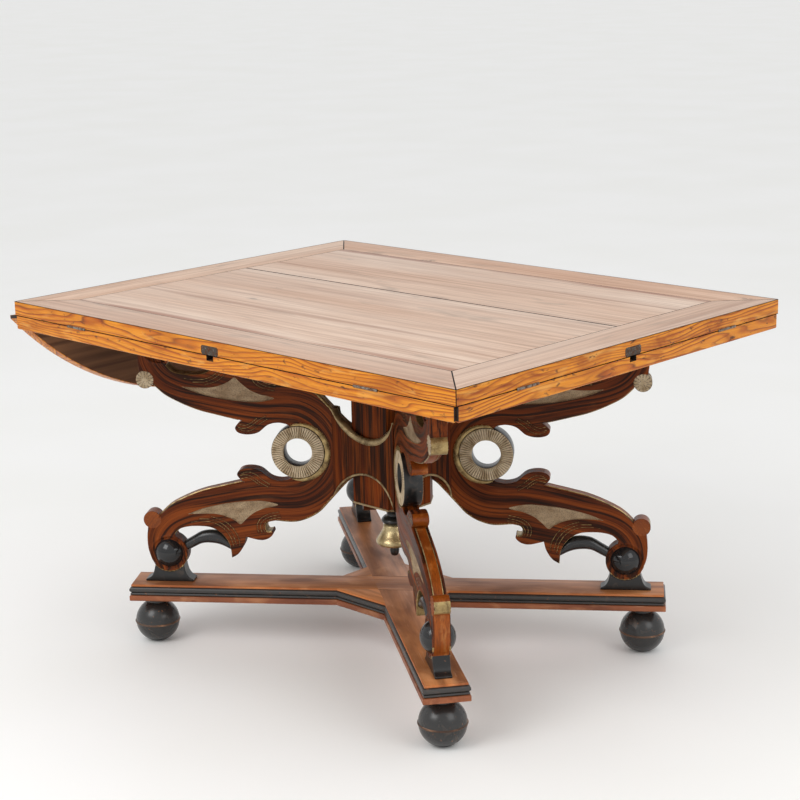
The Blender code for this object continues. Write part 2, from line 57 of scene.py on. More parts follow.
Array = np.ndarray
Vec3 = tuple[float, float, float]
stack, norm = np.column_stack, np.linalg.norm
Socket = bpy.types.NodeSocket
Tree = bpy.types.NodeTree
Node = bpy.types.Node

AXIS_X = float(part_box("pendant")[0].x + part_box("pendant")[1].x) / 2  # the column's axis
CENTRE = (AXIS_X, 0.0, 0.0)
TABLE_HEIGHT = 0.77
TOP_THICKNESS = 0.03
UNDERSIDE = TABLE_HEIGHT - TOP_THICKNESS
BEAM_TOP, BEAM_BOTTOM = 0.141, 0.104
LEG_MID = (BEAM_TOP + UNDERSIDE) / 2  # the legs are the same above and below this height
ARM_ANGLE = math.radians(36.8)
SEAM = 0.0003  # left between neighbouring pieces
LEGS = {"near": -ARM_ANGLE, "right": ARM_ANGLE, "far": math.pi - ARM_ANGLE, "left": math.pi + ARM_ANGLE}


# ==== nodes and colours
def linear(hex_colour: str) -> tuple[float, float, float, float]:
    """Turn an sRGB hex colour into linear light.

    Args:
        hex_colour: Six hex digits, with or without a leading #.

    Returns:
        Red, green, blue and an alpha of 1.
    """
    digits = hex_colour.lstrip("#")
    channels = [int(digits[k:k + 2], 16) / 255 for k in (0, 2, 4)]
    red, green, blue = (c / 12.92 if c <= 0.04045 else ((c + 0.055) / 1.055) ** 2.4 for c in channels)
    return (red, green, blue, 1.0)


def node(tree: Tree, kind: str, inputs: dict | None = None,
         stops: Sequence[tuple[float, str]] = (), **settings: object) -> Node:
    """Add one node with its settings and its links.

    Args:
        tree: The material's node tree.
        kind: The shader node's type name, without its first two words.
        inputs: Socket name or number to a value, or to an output socket that is linked to it.
        stops: For a colour ramp, its positions and hex colours.
        settings: Attributes of the node itself.

    Returns:
        The new node.
    """
    made = tree.nodes.new("ShaderNode" + kind)
    for name, value in settings.items():
        setattr(made, name, value)
    for socket, value in (inputs or {}).items():
        if isinstance(value, Socket):
            tree.links.new(value, made.inputs[socket])
        else:
            made.inputs[socket].default_value = value
    if stops:
        elements = made.color_ramp.elements
        for spare in range(len(stops) - 2):
            elements.new(0.5)
        for element, (position, colour) in zip(elements, sorted(stops)):
            element.position = position
            element.color = linear(colour)
    return made


def shown(name: str, data: bpy.types.ID) -> bpy.types.Object:
    """A new object of this mesh, light or camera, put in the scene."""
    made = bpy.data.objects.new(name, data)
    bpy.context.scene.collection.objects.link(made)
    return made


class Grain(Enum):
    """Which way a finish's grain runs."""

    X = "x"
    Y = "y"
    Z = "z"
    CARVED = "carved"  # along the leg, from the mesh's own grain attribute


# Rotations that turn the grain's direction onto the first axis of a pattern.
GRAIN_TURN = {Grain.X: (0.0, 0.0, 0.0), Grain.Y: (0.0, 0.0, -math.pi / 2), Grain.Z: (0.0, math.pi / 2, 0.0),
              Grain.CARVED: (0.0, 0.0, 0.0)}


@dataclass(frozen=True)
class Finish:
    """What every finish shares: its name, grain direction and a turn of that grain about the vertical."""

    name: str
    grain: Grain = Grain.X
    turn: float = 0.0

    def material(self) -> bpy.types.Material:
        """The finish's material, made once.

        Returns:
            The material.
        """
        label = "%s_%s_%d" % (self.name, self.grain.value, round(math.degrees(self.turn)))
        found = bpy.data.materials.get(label)
        if found:
            return found
        made = bpy.data.materials.new(label)
        made.use_nodes = True
        tree = made.node_tree
        tree.nodes.clear()
        shader = node(tree, "BsdfPrincipled")
        output = node(tree, "OutputMaterial")
        tree.links.new(shader.outputs["BSDF"], output.inputs["Surface"])
        self.dress(tree, shader)
        return made

    def dress(self, tree: Tree, shader: Node) -> None:
        """Fill in the shader; each finish has its own way.

        Args:
            tree: The material's node tree.
            shader: Its Principled shader.
        """
        raise NotImplementedError

    def place(self, tree: Tree, scale: tuple[float, float]) -> Socket:
        """Coordinates with the grain along the first axis.

        Args:
            tree: The material's node tree.
            scale: Pattern repeats per metre, along and across the grain.

        Returns:
            The scaled coordinates.
        """
        if self.grain is Grain.CARVED:
            source = node(tree, "Attribute", attribute_name="grain").outputs["Vector"]
        else:
            source = node(tree, "TexCoord").outputs["Object"]
            angles = GRAIN_TURN[self.grain]
            turned = node(tree, "Mapping",
                          {"Vector": source, "Rotation": (angles[0], angles[1], angles[2] - self.turn)})
            source = turned.outputs["Vector"]
        return node(tree, "Mapping", {"Vector": source, "Scale": (scale[0], scale[1], scale[1])}).outputs["Vector"]

    def cloud(self, tree: Tree, scale: tuple[float, float], detail: float = 3.0,
              distortion: float = 0.0, low: float = 0.35, high: float = 0.65) -> Socket:
        """Soft noise stretched along the grain and spread to the whole of 0 to 1.

        Args:
            tree: The material's node tree.
            scale: Repeats per metre along and across the grain.
            detail: Octaves.
            distortion: How much the pattern is stirred.
            low: The noise value that becomes 0.
            high: The noise value that becomes 1.

        Returns:
            A value from 0 to 1.
        """
        noise = node(tree, "TexNoise", {"Vector": self.place(tree, scale), "Scale": 1.0,
                                                  "Detail": detail, "Distortion": distortion})
        return node(tree, "MapRange", {"Value": noise.outputs["Fac"], "From Min": low,
                                                 "From Max": high}).outputs["Result"]

    def coat(self, tree: Tree, ground: Socket | str, mask: Socket, colour: Socket | str,
             share: Socket | float = 1.0) -> Socket:
        """Lay one coat of colour over what is there.

        Args:
            tree: The material's node tree.
            ground: What is there already: a hex value or a socket.
            mask: Where the coat shows, 0 to 1.
            colour: The coat: a hex value or a socket.
            share: How strongly it shows where the mask is 1.

        Returns:
            The new ground.
        """
        if isinstance(share, Socket) or share != 1.0:
            mask = node(tree, "Math", {0: mask, 1: share}, operation="MULTIPLY").outputs[0]
        under, over = (linear(c) if isinstance(c, str) else c for c in (ground, colour))
        return node(tree, "Mix", {0: mask, 6: under, 7: over}, data_type="RGBA").outputs[2]

    def surface(self, tree: Tree, shader: Node, ground: Socket,
                rough: float | tuple[Socket, float, float], height: Socket, depth: float,
                strength: float) -> None:
        """Wire the ground colour, the roughness and the relief to the shader.

        Args:
            tree: The material's node tree.
            shader: Its Principled shader.
            ground: The finished colour.
            rough: The roughness, or a pattern with the roughness at its 0 and at its 1.
            height: The relief's height.
            depth: How many metres a height of 1 is.
            strength: How strongly the relief shows.
        """
        tree.links.new(ground, shader.inputs["Base Color"])
        if isinstance(rough, float):
            shader.inputs["Roughness"].default_value = rough
        else:
            ranged = node(tree, "MapRange", dict(zip(("Value", "To Min", "To Max"), rough)))
            tree.links.new(ranged.outputs["Result"], shader.inputs["Roughness"])
        bump = node(tree, "Bump", {"Height": height, "Distance": depth, "Strength": strength})
        tree.links.new(bump.outputs["Normal"], shader.inputs["Normal"])


@dataclass(frozen=True)
class BleachedPine(Finish):
    """Scandinavian pine, scrubbed and bleached: pale, matt, with soft brown grain and grey knots."""

    name: str = "bleached_pine"
    pale: str = "#e6ccb6"
    warm: str = "#d2ab90"
    line: str = "#94684c"
    growth_mm: float = 11.0  # growth rings, plain sawn
    fibre_mm: float = 2.4  # finer streaks, drawn as coarse as they need to show
    stained: bool = False  # brown stains where the boards meet the long rails
    rail_seam: float = 0.392  # how far from the table's middle those joints are

    def dress(self, tree: Tree, shader: Node) -> None:
        """Broad warm clouds, growth lines that swerve round knots, fine fibre and a soft sheen."""
        across, fine = 1000 / self.growth_mm, 1000 / self.fibre_mm
        broad = self.cloud(tree, (0.9, 7.0), 2.0)
        ground = self.coat(tree, self.pale, broad, self.warm, 0.75)
        growth = self.cloud(tree, (1.4, across), 4.0, 0.25, 0.44, 0.7)
        ground = self.coat(tree, ground, growth, self.line, 0.46)
        fibre = self.cloud(tree, (7.0, fine), 3.0, 0.2, 0.34, 0.7)
        ground = self.coat(tree, ground, fibre, self.line, 0.48)
        streak = self.cloud(tree, (0.8, 34.0), 3.0, 0.3, 0.6, 0.7)
        ground = self.coat(tree, ground, streak, "#8f6046", 0.5)
        smudge = self.cloud(tree, (7.0, 24.0), 4.0, 0.6, 0.6, 0.76)
        ground = self.coat(tree, ground, smudge, "#8b7869", 0.45)
        ground = self.coat(tree, ground, self.knot(tree), "#66544a",
                           self.cloud(tree, (60.0, 160.0), 2.0, 1.0, 0.36, 0.56))
        if self.stained:
            ground = self.coat(tree, ground, self.joint_stain(tree), "#93593b", 0.75)
        height = node(tree, "Math", {0: fibre, 1: growth}, operation="ADD").outputs[0]
        self.surface(tree, shader, ground, (broad, 0.4, 0.52), height, 0.00018, 0.5)

    def knot(self, tree: Tree) -> Socket:
        """Small oval knots, ringed inside: 0.55 + 0.25 sin(230 d) at a cell distance d from each centre.

        Args:
            tree: The material's node tree.

        Returns:
            Where the knots are, 0 to 1.
        """
        cells = node(tree, "TexVoronoi", {"Vector": self.place(tree, (3.4, 6.4)), "Scale": 1.0,
                                                    "Randomness": 1.0}).outputs["Distance"]
        spot = node(tree, "MapRange", {"Value": cells, "From Min": 0.1,
                                                 "From Max": 0.045}).outputs["Result"]
        wave = node(tree, "Math", {0: cells, 1: 230.0}, operation="MULTIPLY").outputs[0]
        wave = node(tree, "Math", {0: wave}, operation="SINE").outputs[0]
        rings = node(tree, "Math", {0: wave, 1: 0.25, 2: 0.55}, operation="MULTIPLY_ADD").outputs[0]
        return node(tree, "Math", {0: spot, 1: rings}, operation="MULTIPLY").outputs[0]

    def joint_stain(self, tree: Tree) -> Socket:
        """Blotches in a band 5 to 16 mm either side of the joints with the long rails.

        Args:
            tree: The material's node tree.

        Returns:
            Where the stain is, 0 to 1.
        """
        place = node(tree, "TexCoord").outputs["Object"]
        off = node(tree, "SeparateXYZ", {0: place}).outputs[1]
        off = node(tree, "Math", {0: off}, operation="ABSOLUTE").outputs[0]
        off = node(tree, "Math", {0: off, 1: self.rail_seam}, operation="SUBTRACT").outputs[0]
        off = node(tree, "Math", {0: off}, operation="ABSOLUTE").outputs[0]
        band = node(tree, "MapRange", {"Value": off, "From Min": 0.016, "From Max": 0.005})
        patch = self.cloud(tree, (2.2, 30.0), 3.0, 0.4, 0.38, 0.56)
        return node(tree, "Math", {0: band.outputs["Result"], 1: patch},
                    operation="MULTIPLY").outputs[0]


@dataclass(frozen=True)
class VarnishedPine(Finish):
    """Plain-sawn pine under old orange shellac: sharp brown latewood lines, dents and worn patches."""

    name: str = "varnished_pine"
    light: str = "#de8d1d"
    deep: str = "#b35a0b"
    line: str = "#5a2407"
    growth_mm: float = 4.6  # between growth lines on the sawn edge
    worn: float = 0.55  # how much red-brown wear shows

    def dress(self, tree: Tree, shader: Node) -> None:
        """Growth rings, then fibre, red-brown wear, rubbed light spots and dirt in the dents."""
        tone = node(tree, "ValToRGB", {"Fac": self.rings(tree)},
                    [(0.0, self.light), (0.42, self.light), (0.74, self.deep), (0.88, self.line),
                     (1.0, self.light)])
        faint = self.cloud(tree, (5.0, 30.0), 2.0, 0.0, 0.4, 0.62)
        ground = self.coat(tree, tone.outputs["Color"], faint, self.light, 0.32)
        fibre = self.cloud(tree, (14.0, 420.0), 3.0, 0.2, 0.34, 0.7)
        ground = self.coat(tree, ground, fibre, self.deep, 0.5)
        patch = self.cloud(tree, (9.0, 34.0), 5.0, 0.7, 0.47, 0.68)
        ground = self.coat(tree, ground, patch, "#8a3a0a", self.worn)
        rub = self.cloud(tree, (13.0, 50.0), 3.0, 0.5, 0.6, 0.74)
        ground = self.coat(tree, ground, rub, "#e8ab55", 0.55)
        dirt = self.cloud(tree, (46.0, 110.0), 4.0, 0.4, 0.62, 0.73)
        ground = self.coat(tree, ground, dirt, "#40200e", 0.85)
        shader.inputs["Coat Weight"].default_value = 0.1
        shader.inputs["Coat Roughness"].default_value = 0.28
        shader.inputs["Specular IOR Level"].default_value = 0.25
        height = node(tree, "Math", {0: dirt, 1: -1.5, 2: fibre}, operation="MULTIPLY_ADD").outputs[0]
        self.surface(tree, shader, ground, (patch, 0.34, 0.52), height, 0.0004, 0.6)

    def rings(self, tree: Tree) -> Socket:
        """The growth rings: the fraction of 13 sweep + 0.55 (z + y / 4), in growth widths.

        Args:
            tree: The material's node tree.

        Returns:
            0 to 1 across each ring.
        """
        sweep = node(tree, "TexNoise", {"Vector": self.place(tree, (2.4, 13.0)), "Scale": 1.0,
                                                  "Detail": 2.0, "Distortion": 0.25}).outputs["Fac"]
        widths = 1000 / self.growth_mm
        axes = node(tree, "SeparateXYZ", {0: self.place(tree, (1.0, widths))})
        lift = node(tree, "Math", {0: axes.outputs[1], 1: 0.25, 2: axes.outputs[2]},
                    operation="MULTIPLY_ADD").outputs[0]
        lift = node(tree, "Math", {0: lift, 1: 0.55}, operation="MULTIPLY").outputs[0]
        total = node(tree, "Math", {0: sweep, 1: 13.0, 2: lift}, operation="MULTIPLY_ADD").outputs[0]
        return node(tree, "Math", {0: total}, operation="FRACT").outputs[0]


@dataclass(frozen=True)
class OldPine(Finish):
    """The unfinished undersides: pine gone brown with age and smoke."""

    name: str = "aged_raw_pine"
    light: str = "#8a6040"
    brown: str = "#5f3c24"
    smoke: str = "#3f2819"

    def dress(self, tree: Tree, shader: Node) -> None:
        """Brown clouds, saw-straight grain and a dry surface."""
        growth = self.cloud(tree, (1.6, 80.0), 3.0, 0.3, 0.38, 0.68)
        ground = self.coat(tree, self.light, growth, self.brown)
        ground = self.coat(tree, ground, self.cloud(tree, (3.0, 9.0)), self.smoke, 0.5)
        self.surface(tree, shader, ground, 0.68, growth, 0.0003, 0.6)


# Joints filled with dirt and painted shade: old pine painted almost black, standing also for the shade in the gaps
# and in the catch's pocket.
JOINT_DIRT_AND_PAINTED_SHADE = OldPine("dirt_dark_joint", light="#2b1b12", brown="#1c120c", smoke="#120b08")


@dataclass(frozen=True)
class PaintedRosewood(Finish):
    """Pine painted as rosewood: red-brown glaze combed with near-black streaks, under varnish."""

    name: str = "painted_rosewood"
    red: str = "#5c270b"
    light: str = "#843f14"
    black: str = "#140a05"
    streak_mm: float = 9.0
    shade: float = 0.0  # broad dark clouds of painted shade
    gloss: float = 0.12  # weak, so that grazing faces keep their colour
    flames: bool = False  # draw the carved flames' gilt lines from the mesh's line_gap attribute

    def dress(self, tree: Tree, shader: Node) -> None:
        """Streaks of two widths along the grain, lighter ribbons between, gilt in the carved lines."""
        across = 1000 / self.streak_mm
        ribbon = self.cloud(tree, (3.0, across * 0.6), 3.0, 0.5, 0.4, 0.66)
        ground = self.coat(tree, self.red, ribbon, self.light)
        streak = self.cloud(tree, (3.4, across), 4.0, 0.8, 0.46, 0.6)
        ground = self.coat(tree, ground, streak, self.black, 0.86)
        comb = self.cloud(tree, (9.0, across * 4.5), 2.0, 0.3, 0.45, 0.7)
        ground = self.coat(tree, ground, comb, self.black, 0.45)
        # Broad dark clouds painted on as shade, at the share that shade gives.
        painted_shade_cloud = self.cloud(tree, (5.0, 16.0), 3.0, 0.5, 0.36, 0.62)
        ground = self.coat(tree, ground, painted_shade_cloud, self.black, self.shade)
        dust = self.cloud(tree, (14.0, 40.0), 4.0, 0.4, 0.6, 0.8)
        ground = self.coat(tree, ground, dust, "#8a5a3c", 0.16)
        height = node(tree, "Math", {0: comb, 1: 0.25}, operation="MULTIPLY").outputs[0]
        if self.flames:
            ground, height = self.carved_lines(tree, ground, height)
        shader.inputs["Specular IOR Level"].default_value = self.gloss
        self.surface(tree, shader, ground, (streak, 0.48, 0.38), height, 0.0009, 0.7)

    def carved_lines(self, tree: Tree, ground: Socket, height: Socket) -> tuple[Socket, Socket]:
        """The flames: a dark cut with a worn gilt ridge along its middle.

        Args:
            tree: The material's node tree.
            ground: The colour so far.
            height: The relief so far.

        Returns:
            The colour and the relief with the flames in them.
        """
        gap = node(tree, "Attribute", attribute_name="line_gap").outputs["Fac"]
        gilt, cut = (node(tree, "MapRange", {"Value": gap, "From Min": far,
                                                       "From Max": near}).outputs["Result"]
                     for far, near in ((0.0011, 0.0004), (0.0034, 0.0012)))
        worn = self.cloud(tree, (60.0, 60.0), 3.0, 0.0, 0.3, 0.62)
        worn = node(tree, "Math", {0: worn, 1: 0.85}, operation="MULTIPLY").outputs[0]
        ground = self.coat(tree, ground, cut, self.black, 0.45)
        ground = self.coat(tree, ground, gilt, "#a98a58", worn)
        for line, lift in ((cut, -1.0), (gilt, 0.8)):
            height = node(tree, "Math", {0: line, 1: lift, 2: height},
                          operation="MULTIPLY_ADD").outputs[0]
        return ground, height


@dataclass(frozen=True)
class AmberPaint(Finish):
    """The legs' raised outer panels: orange-brown glaze over pale wood, worn through to dust on top."""

    name: str = "amber_glaze"

    def dress(self, tree: Tree, shader: Node) -> None:
        """Warm orange with fine lengthways combing and rubbed spots."""
        comb = self.cloud(tree, (9.0, 520.0), 3.0, 0.3, 0.35, 0.7)
        ground = self.coat(tree, "#9e5014", self.cloud(tree, (11.0, 22.0)), "#6c300a")
        ground = self.coat(tree, ground, comb, "#4a200b", 0.55)
        rub = self.cloud(tree, (34.0, 60.0), 4.0, 0.3, 0.58, 0.74)
        ground = self.coat(tree, ground, rub, "#d69a5a", 0.35)
        shader.inputs["Specular IOR Level"].default_value = 0.25
        self.surface(tree, shader, ground, 0.34, comb, 0.0003, 0.5)


@dataclass(frozen=True)
class WornBrown(Finish):
    """Brown paint trodden and dusted to a soft sheen, worn to orange wood in places."""

    name: str = "worn_brown_paint"
    base: str = "#c98450"
    dark: str = "#84502d"

    def dress(self, tree: Tree, shader: Node) -> None:
        """Grain through thin paint, scuffs and dust."""
        grain = self.cloud(tree, (2.2, 90.0), 3.0, 0.3, 0.35, 0.7)
        broad = self.cloud(tree, (4.0, 16.0), 4.0, 0.5, 0.38, 0.64)
        ground = self.coat(tree, self.base, broad, self.dark)
        ground = self.coat(tree, ground, grain, "#55301c", 0.4)
        rub = self.cloud(tree, (16.0, 30.0), 5.0, 0.5, 0.54, 0.74)
        ground = self.coat(tree, ground, rub, "#cf9567", 0.4)
        scratch = self.cloud(tree, (10.0, 300.0), 2.0, 1.5, 0.64, 0.72)
        ground = self.coat(tree, ground, scratch, "#c79a7c", 0.4)
        shader.inputs["Specular IOR Level"].default_value = 0.3
        height = node(tree, "Math", {0: grain, 1: rub}, operation="ADD").outputs[0]
        self.surface(tree, shader, ground, (broad, 0.36, 0.5), height, 0.0003, 0.4)


@dataclass(frozen=True)
class Ebonised(Finish):
    """Turned wood under black polish: half gloss, scuffed, with brown where hands and brooms rub."""

    name: str = "ebonised_wood"
    wear: float = 0.35  # share of the scuffs that show
    rough: float = 0.3
    black: str = "#151515"

    def dress(self, tree: Tree, shader: Node) -> None:
        """Black with faint brown wear, chips and fine scratches."""
        scuff = self.cloud(tree, (38.0, 38.0), 5.0, 0.6, 0.6, 0.76)
        chips = self.cloud(tree, (150.0, 150.0), 2.0, 0.0, 0.68, 0.74)
        ground = self.coat(tree, self.black, scuff, "#5a4a3f", self.wear)
        ground = self.coat(tree, ground, chips, "#8a5a3c", self.wear)
        dents = node(tree, "Math", {0: chips, 1: -1.0}, operation="MULTIPLY").outputs[0]
        self.surface(tree, shader, ground, (scuff, self.rough, self.rough + 0.22), dents, 0.0003, 0.5)


@dataclass(frozen=True)
class AgedGilt(Finish):
    """Bronze powder paint over gesso, dulled: warm olive gold with brown in the hollows."""

    name: str = "aged_gilt"
    gold: str = "#a08a66"
    dull: str = "#63492c"
    metal: float = 0.35
    rough: float = 0.42
    fluted: bool = False  # darken the gaps between flutes from the mesh's gap attribute

    def dress(self, tree: Tree, shader: Node) -> None:
        """Powdery gold with brown grime and rubbed bright spots."""
        grime = self.cloud(tree, (55.0, 55.0), 4.0, 0.4, 0.42, 0.7)
        ground = self.coat(tree, self.gold, grime, self.dull)
        speck = self.cloud(tree, (420.0, 420.0), 2.0, 0.0, 0.52, 0.72)
        ground = self.coat(tree, ground, speck, "#cdbb8c", 0.35)
        if self.fluted:
            gap = node(tree, "Attribute", attribute_name="gap").outputs["Fac"]
            dark = node(tree, "MapRange", {"Value": gap, "From Min": 0.45, "From Max": 0.95})
            ground = self.coat(tree, ground, dark.outputs["Result"], "#1d160f")
        shader.inputs["Metallic"].default_value = self.metal
        self.surface(tree, shader, ground, (grime, self.rough, self.rough + 0.2), speck, 0.0003, 0.4)


@dataclass(frozen=True)
class StippledGround(Finish):
    """The carved panels' punched ground: gesso toned grey-beige, full of small pits."""

    name: str = "stippled_gesso"
    pit_mm: float = 2.4  # punch marks, drawn as coarse as they need to show

    def dress(self, tree: Tree, shader: Node) -> None:
        """Small round pits, darker inside, over a powdery ground."""
        pitch = 1000 / self.pit_mm
        cells = node(tree, "TexVoronoi", {"Vector": self.place(tree, (pitch, pitch)), "Scale": 1.0})
        wall, hollow = (node(tree, "MapRange", {
            "Value": cells.outputs["Distance"], "From Min": 0.15, "From Max": 0.55, "To Min": low,
            "To Max": 1 - low}).outputs["Result"] for low in (0.0, 1.0))
        ground = self.coat(tree, "#a48c6c", self.cloud(tree, (30.0, 60.0)), "#83694a")
        ground = self.coat(tree, ground, hollow, "#4e4233", 0.55)
        self.surface(tree, shader, ground, 0.62, wall, 0.0007, 0.8)


@dataclass(frozen=True)
class WornIron(Finish):
    """Forged iron: brown-black patina, rust bloom and bare metal on high spots."""

    name: str = "forged_iron"
    bright: float = 0.5  # how far the rubbed spots shine
    patina: str = "#4d443d"

    def dress(self, tree: Tree, shader: Node) -> None:
        """Rust clouds over dark iron with hammered unevenness."""
        rust = self.cloud(tree, (120.0, 120.0), 4.0, 0.5, 0.42, 0.66)
        bare = self.cloud(tree, (210.0, 210.0), 3.0, 0.2, 0.58, 0.72)
        ground = self.coat(tree, self.patina, rust, "#5b3a26")
        ground = self.coat(tree, ground, bare, "#a39b90", self.bright)
        shader.inputs["Metallic"].default_value = 0.75
        self.surface(tree, shader, ground, (rust, 0.42, 0.7), rust, 0.0004, 0.7)


@dataclass(frozen=True)
class StudioFloor(Finish):
    """A plain pale painted floor."""

    name: str = "pale_floor"
    tint: str = "#f9f8f6"

    def dress(self, tree: Tree, shader: Node) -> None:
        """One pale tone, barely mottled."""
        mottle = self.cloud(tree, (1.5, 1.5), 2.0)
        tree.links.new(self.coat(tree, self.tint, mottle, "#f7f6f3"), shader.inputs["Base Color"])
        shader.inputs["Roughness"].default_value = 0.7


# ==== surfaces
def flowing(points: Sequence[Sequence[float]], steps: int = 6) -> Array:
    """A smooth curve through the points, both ends included.

    Between b and c, with neighbours a and d, the curve is
    (2b + (c - a)t + (2a - 5b + 4c - d)t^2 + (3b - a - 3c + d)t^3) / 2.

    Args:
        points: The points that it passes through.
        steps: Samples for each run.

    Returns:
        The samples, one per row.
    """
    known = np.asarray(points, float)
    known = np.vstack([known[:1], known, known[-1:]])
    a, b, c, d = (known[k:len(known) - 3 + k, None, :] for k in range(4))
    t = (np.arange(steps) / steps)[None, :, None]
    runs = 0.5 * (2 * b + (c - a) * t + (2 * a - 5 * b + 4 * c - d) * t ** 2
                  + (3 * b - a - 3 * c + d) * t ** 3)
    return np.vstack([runs.reshape(-1, known.shape[1]), known[-1:]])


def circle_arc(centre: Sequence[float], radius: float, start: float, end: float, steps: int) -> Array:
    """Points centre + radius (cos a, sin a) for angles a from start to end, in degrees."""
    angle = np.radians(np.linspace(start, end, steps + 1))
    return stack([centre[0] + radius * np.cos(angle), centre[1] + radius * np.sin(angle)])


def nearest_on(line: Array, points: Array) -> tuple[Array, Array, Array, Array]:
    """How far each point is from an open line of straight runs.

    On each run from a to b the nearest spot is a + t(b - a), t = (p - a).(b - a) / |b - a|^2 held
    between 0 and 1, and the nearest run wins.

    Args:
        line: The line's points.
        points: The points to measure.

    Returns:
        The distance, the length along the line, the side (1 left, -1 right) and the run's number.
    """
    start, run = line[:-1], np.diff(line, axis=0)
    square = np.maximum((run ** 2).sum(1), 1e-14)
    offset = points[:, None, :] - start[None]
    t = np.clip((offset * run[None]).sum(2) / square[None], 0, 1)
    gap = offset - t[:, :, None] * run[None]
    reach = (gap ** 2).sum(2)
    best = reach.argmin(1)
    rows = np.arange(len(points))
    done = np.concatenate([[0.0], np.cumsum(np.sqrt(square))])
    side = np.sign(run[best, 0] * gap[rows, best, 1] - run[best, 1] * gap[rows, best, 0])
    along = done[best] + t[rows, best] * np.sqrt(square[best])
    return np.sqrt(reach[rows, best]), along, side, best


def inside(outline: Array, points: Array) -> Array:
    """Whether each point is inside a closed outline: a ray along +X crosses it an odd number of times.

    Args:
        outline: The outline's corners.
        points: The points to test.

    Returns:
        True for each point inside.
    """
    a, b = outline, np.roll(outline, -1, axis=0)
    x, y = points[:, 0][:, None], points[:, 1][:, None]
    spans = (a[:, 1] > y) != (b[:, 1] > y)
    rise = np.where(np.abs(b[:, 1] - a[:, 1]) < 1e-12, 1e-12, b[:, 1] - a[:, 1])
    return ((spans & (x < a[:, 0] + (b[:, 0] - a[:, 0]) * (y - a[:, 1]) / rise)).sum(1) % 2) == 1


def grid_faces(rows: int, columns: int, round_rows: bool = False, round_columns: bool = False) -> Array:
    """Four-sided faces over a grid of points numbered row by row.

    Args:
        rows: Number of rows.
        columns: Number of points in a row.
        round_rows: Whether the last row joins the first.
        round_columns: Whether a row's last point joins its first.

    Returns:
        One face per row.
    """
    i = np.arange(rows if round_rows else rows - 1)[:, None]
    j = np.arange(columns if round_columns else columns - 1)[None, :]
    i1, j1 = (i + 1) % rows, (j + 1) % columns
    corners = [i * columns + j, i * columns + j1, i1 * columns + j1, i1 * columns + j]
    return np.stack([np.broadcast_to(c, (i.size, j.size)) for c in corners], 2).reshape(-1, 4)


@dataclass
class Shape:
    """A closed surface: its points, its faces, and a finish number for each face."""

    points: Array
    faces: list[Sequence[int]]
    finishes: Array | None = None

    def outward(self) -> "Shape":
        """The same shape with its faces turned outwards: six times its volume is the sum of a.(b x c).

        Returns:
            This shape.
        """
        total = 0.0
        for size in {len(f) for f in self.faces}:
            flat = self.points[np.array([f for f in self.faces if len(f) == size])]
            for k in range(1, size - 1):
                total += float((flat[:, 0] * np.cross(flat[:, k], flat[:, k + 1])).sum())
        if total < 0:
            self.faces = [tuple(reversed(f)) for f in self.faces]
        return self

    def joined(self, other: "Shape") -> "Shape":
        """This shape and another as one, each still closed.

        Args:
            other: The other shape.

        Returns:
            Both as one shape.
        """
        shift = len(self.points)
        faces = list(self.faces) + [tuple(i + shift for i in f) for f in other.faces]
        mine = np.zeros(len(self.faces), int) if self.finishes is None else self.finishes
        theirs = np.zeros(len(other.faces), int) if other.finishes is None else other.finishes
        return Shape(np.vstack([self.points, other.points]), faces, np.concatenate([mine, theirs]))

    def turned(self, angle: float, shift: Sequence[float] = (0.0, 0.0, 0.0)) -> "Shape":
        """The shape turned about the vertical through the origin, then moved.

        Args:
            angle: The turn, in radians.
            shift: The move after it.

        Returns:
            The shape in its new place.
        """
        c, s = math.cos(angle), math.sin(angle)
        spin = np.array([[c, s, 0], [-s, c, 0], [0, 0, 1.0]])
        return Shape(self.points @ spin + np.asarray(shift, float), self.faces, self.finishes)


def loft(rings: Array, closed: bool = True) -> Shape:
    """Rings of equal length joined one to the next, and a face over the first and the last.

    Args:
        rings: Array of rings, points in a ring, and x, y, z.
        closed: Whether the two end faces are added; without them the rings join round in a loop.

    Returns:
        The closed shape.
    """
    count, size = rings.shape[:2]
    faces = [tuple(f) for f in grid_faces(count, size, not closed, True).tolist()]
    if closed:
        faces.append(tuple(reversed(range(size))))
        faces.append(tuple(range((count - 1) * size, count * size)))
    return Shape(rings.reshape(-1, 3), faces).outward()


def turning(profile: Array, sides: int = 64) -> Shape:
    """A turned solid: each (radius, height) of the profile swept to (radius cos a, radius sin a, height).

    Args:
        profile: Rows of (radius, height), from one end to the other.
        sides: Points round it.

    Returns:
        The closed solid.
    """
    angle = np.linspace(0, 2 * math.pi, sides, endpoint=False)
    radius, height = profile[:, :1], profile[:, 1:2]
    level = np.broadcast_to(height, (len(profile), sides))
    return loft(np.stack([radius * np.cos(angle), radius * np.sin(angle), level], 2))


def tube(path: Array, across: Array, upward: Array, sides: int = 16) -> Shape:
    """A bar along a path: at each point p the section is p + across cos a + upward sin a.

    Args:
        path: The centre line, one point per row.
        across: At each point, the section's first half-axis as a vector.
        upward: At each point, the section's second half-axis as a vector.
        sides: Points round the section.

    Returns:
        The closed bar.
    """
    angle = np.linspace(0, 2 * math.pi, sides, endpoint=False)[None, :, None]
    return loft(path[:, None] + across[:, None] * np.cos(angle) + upward[:, None] * np.sin(angle))


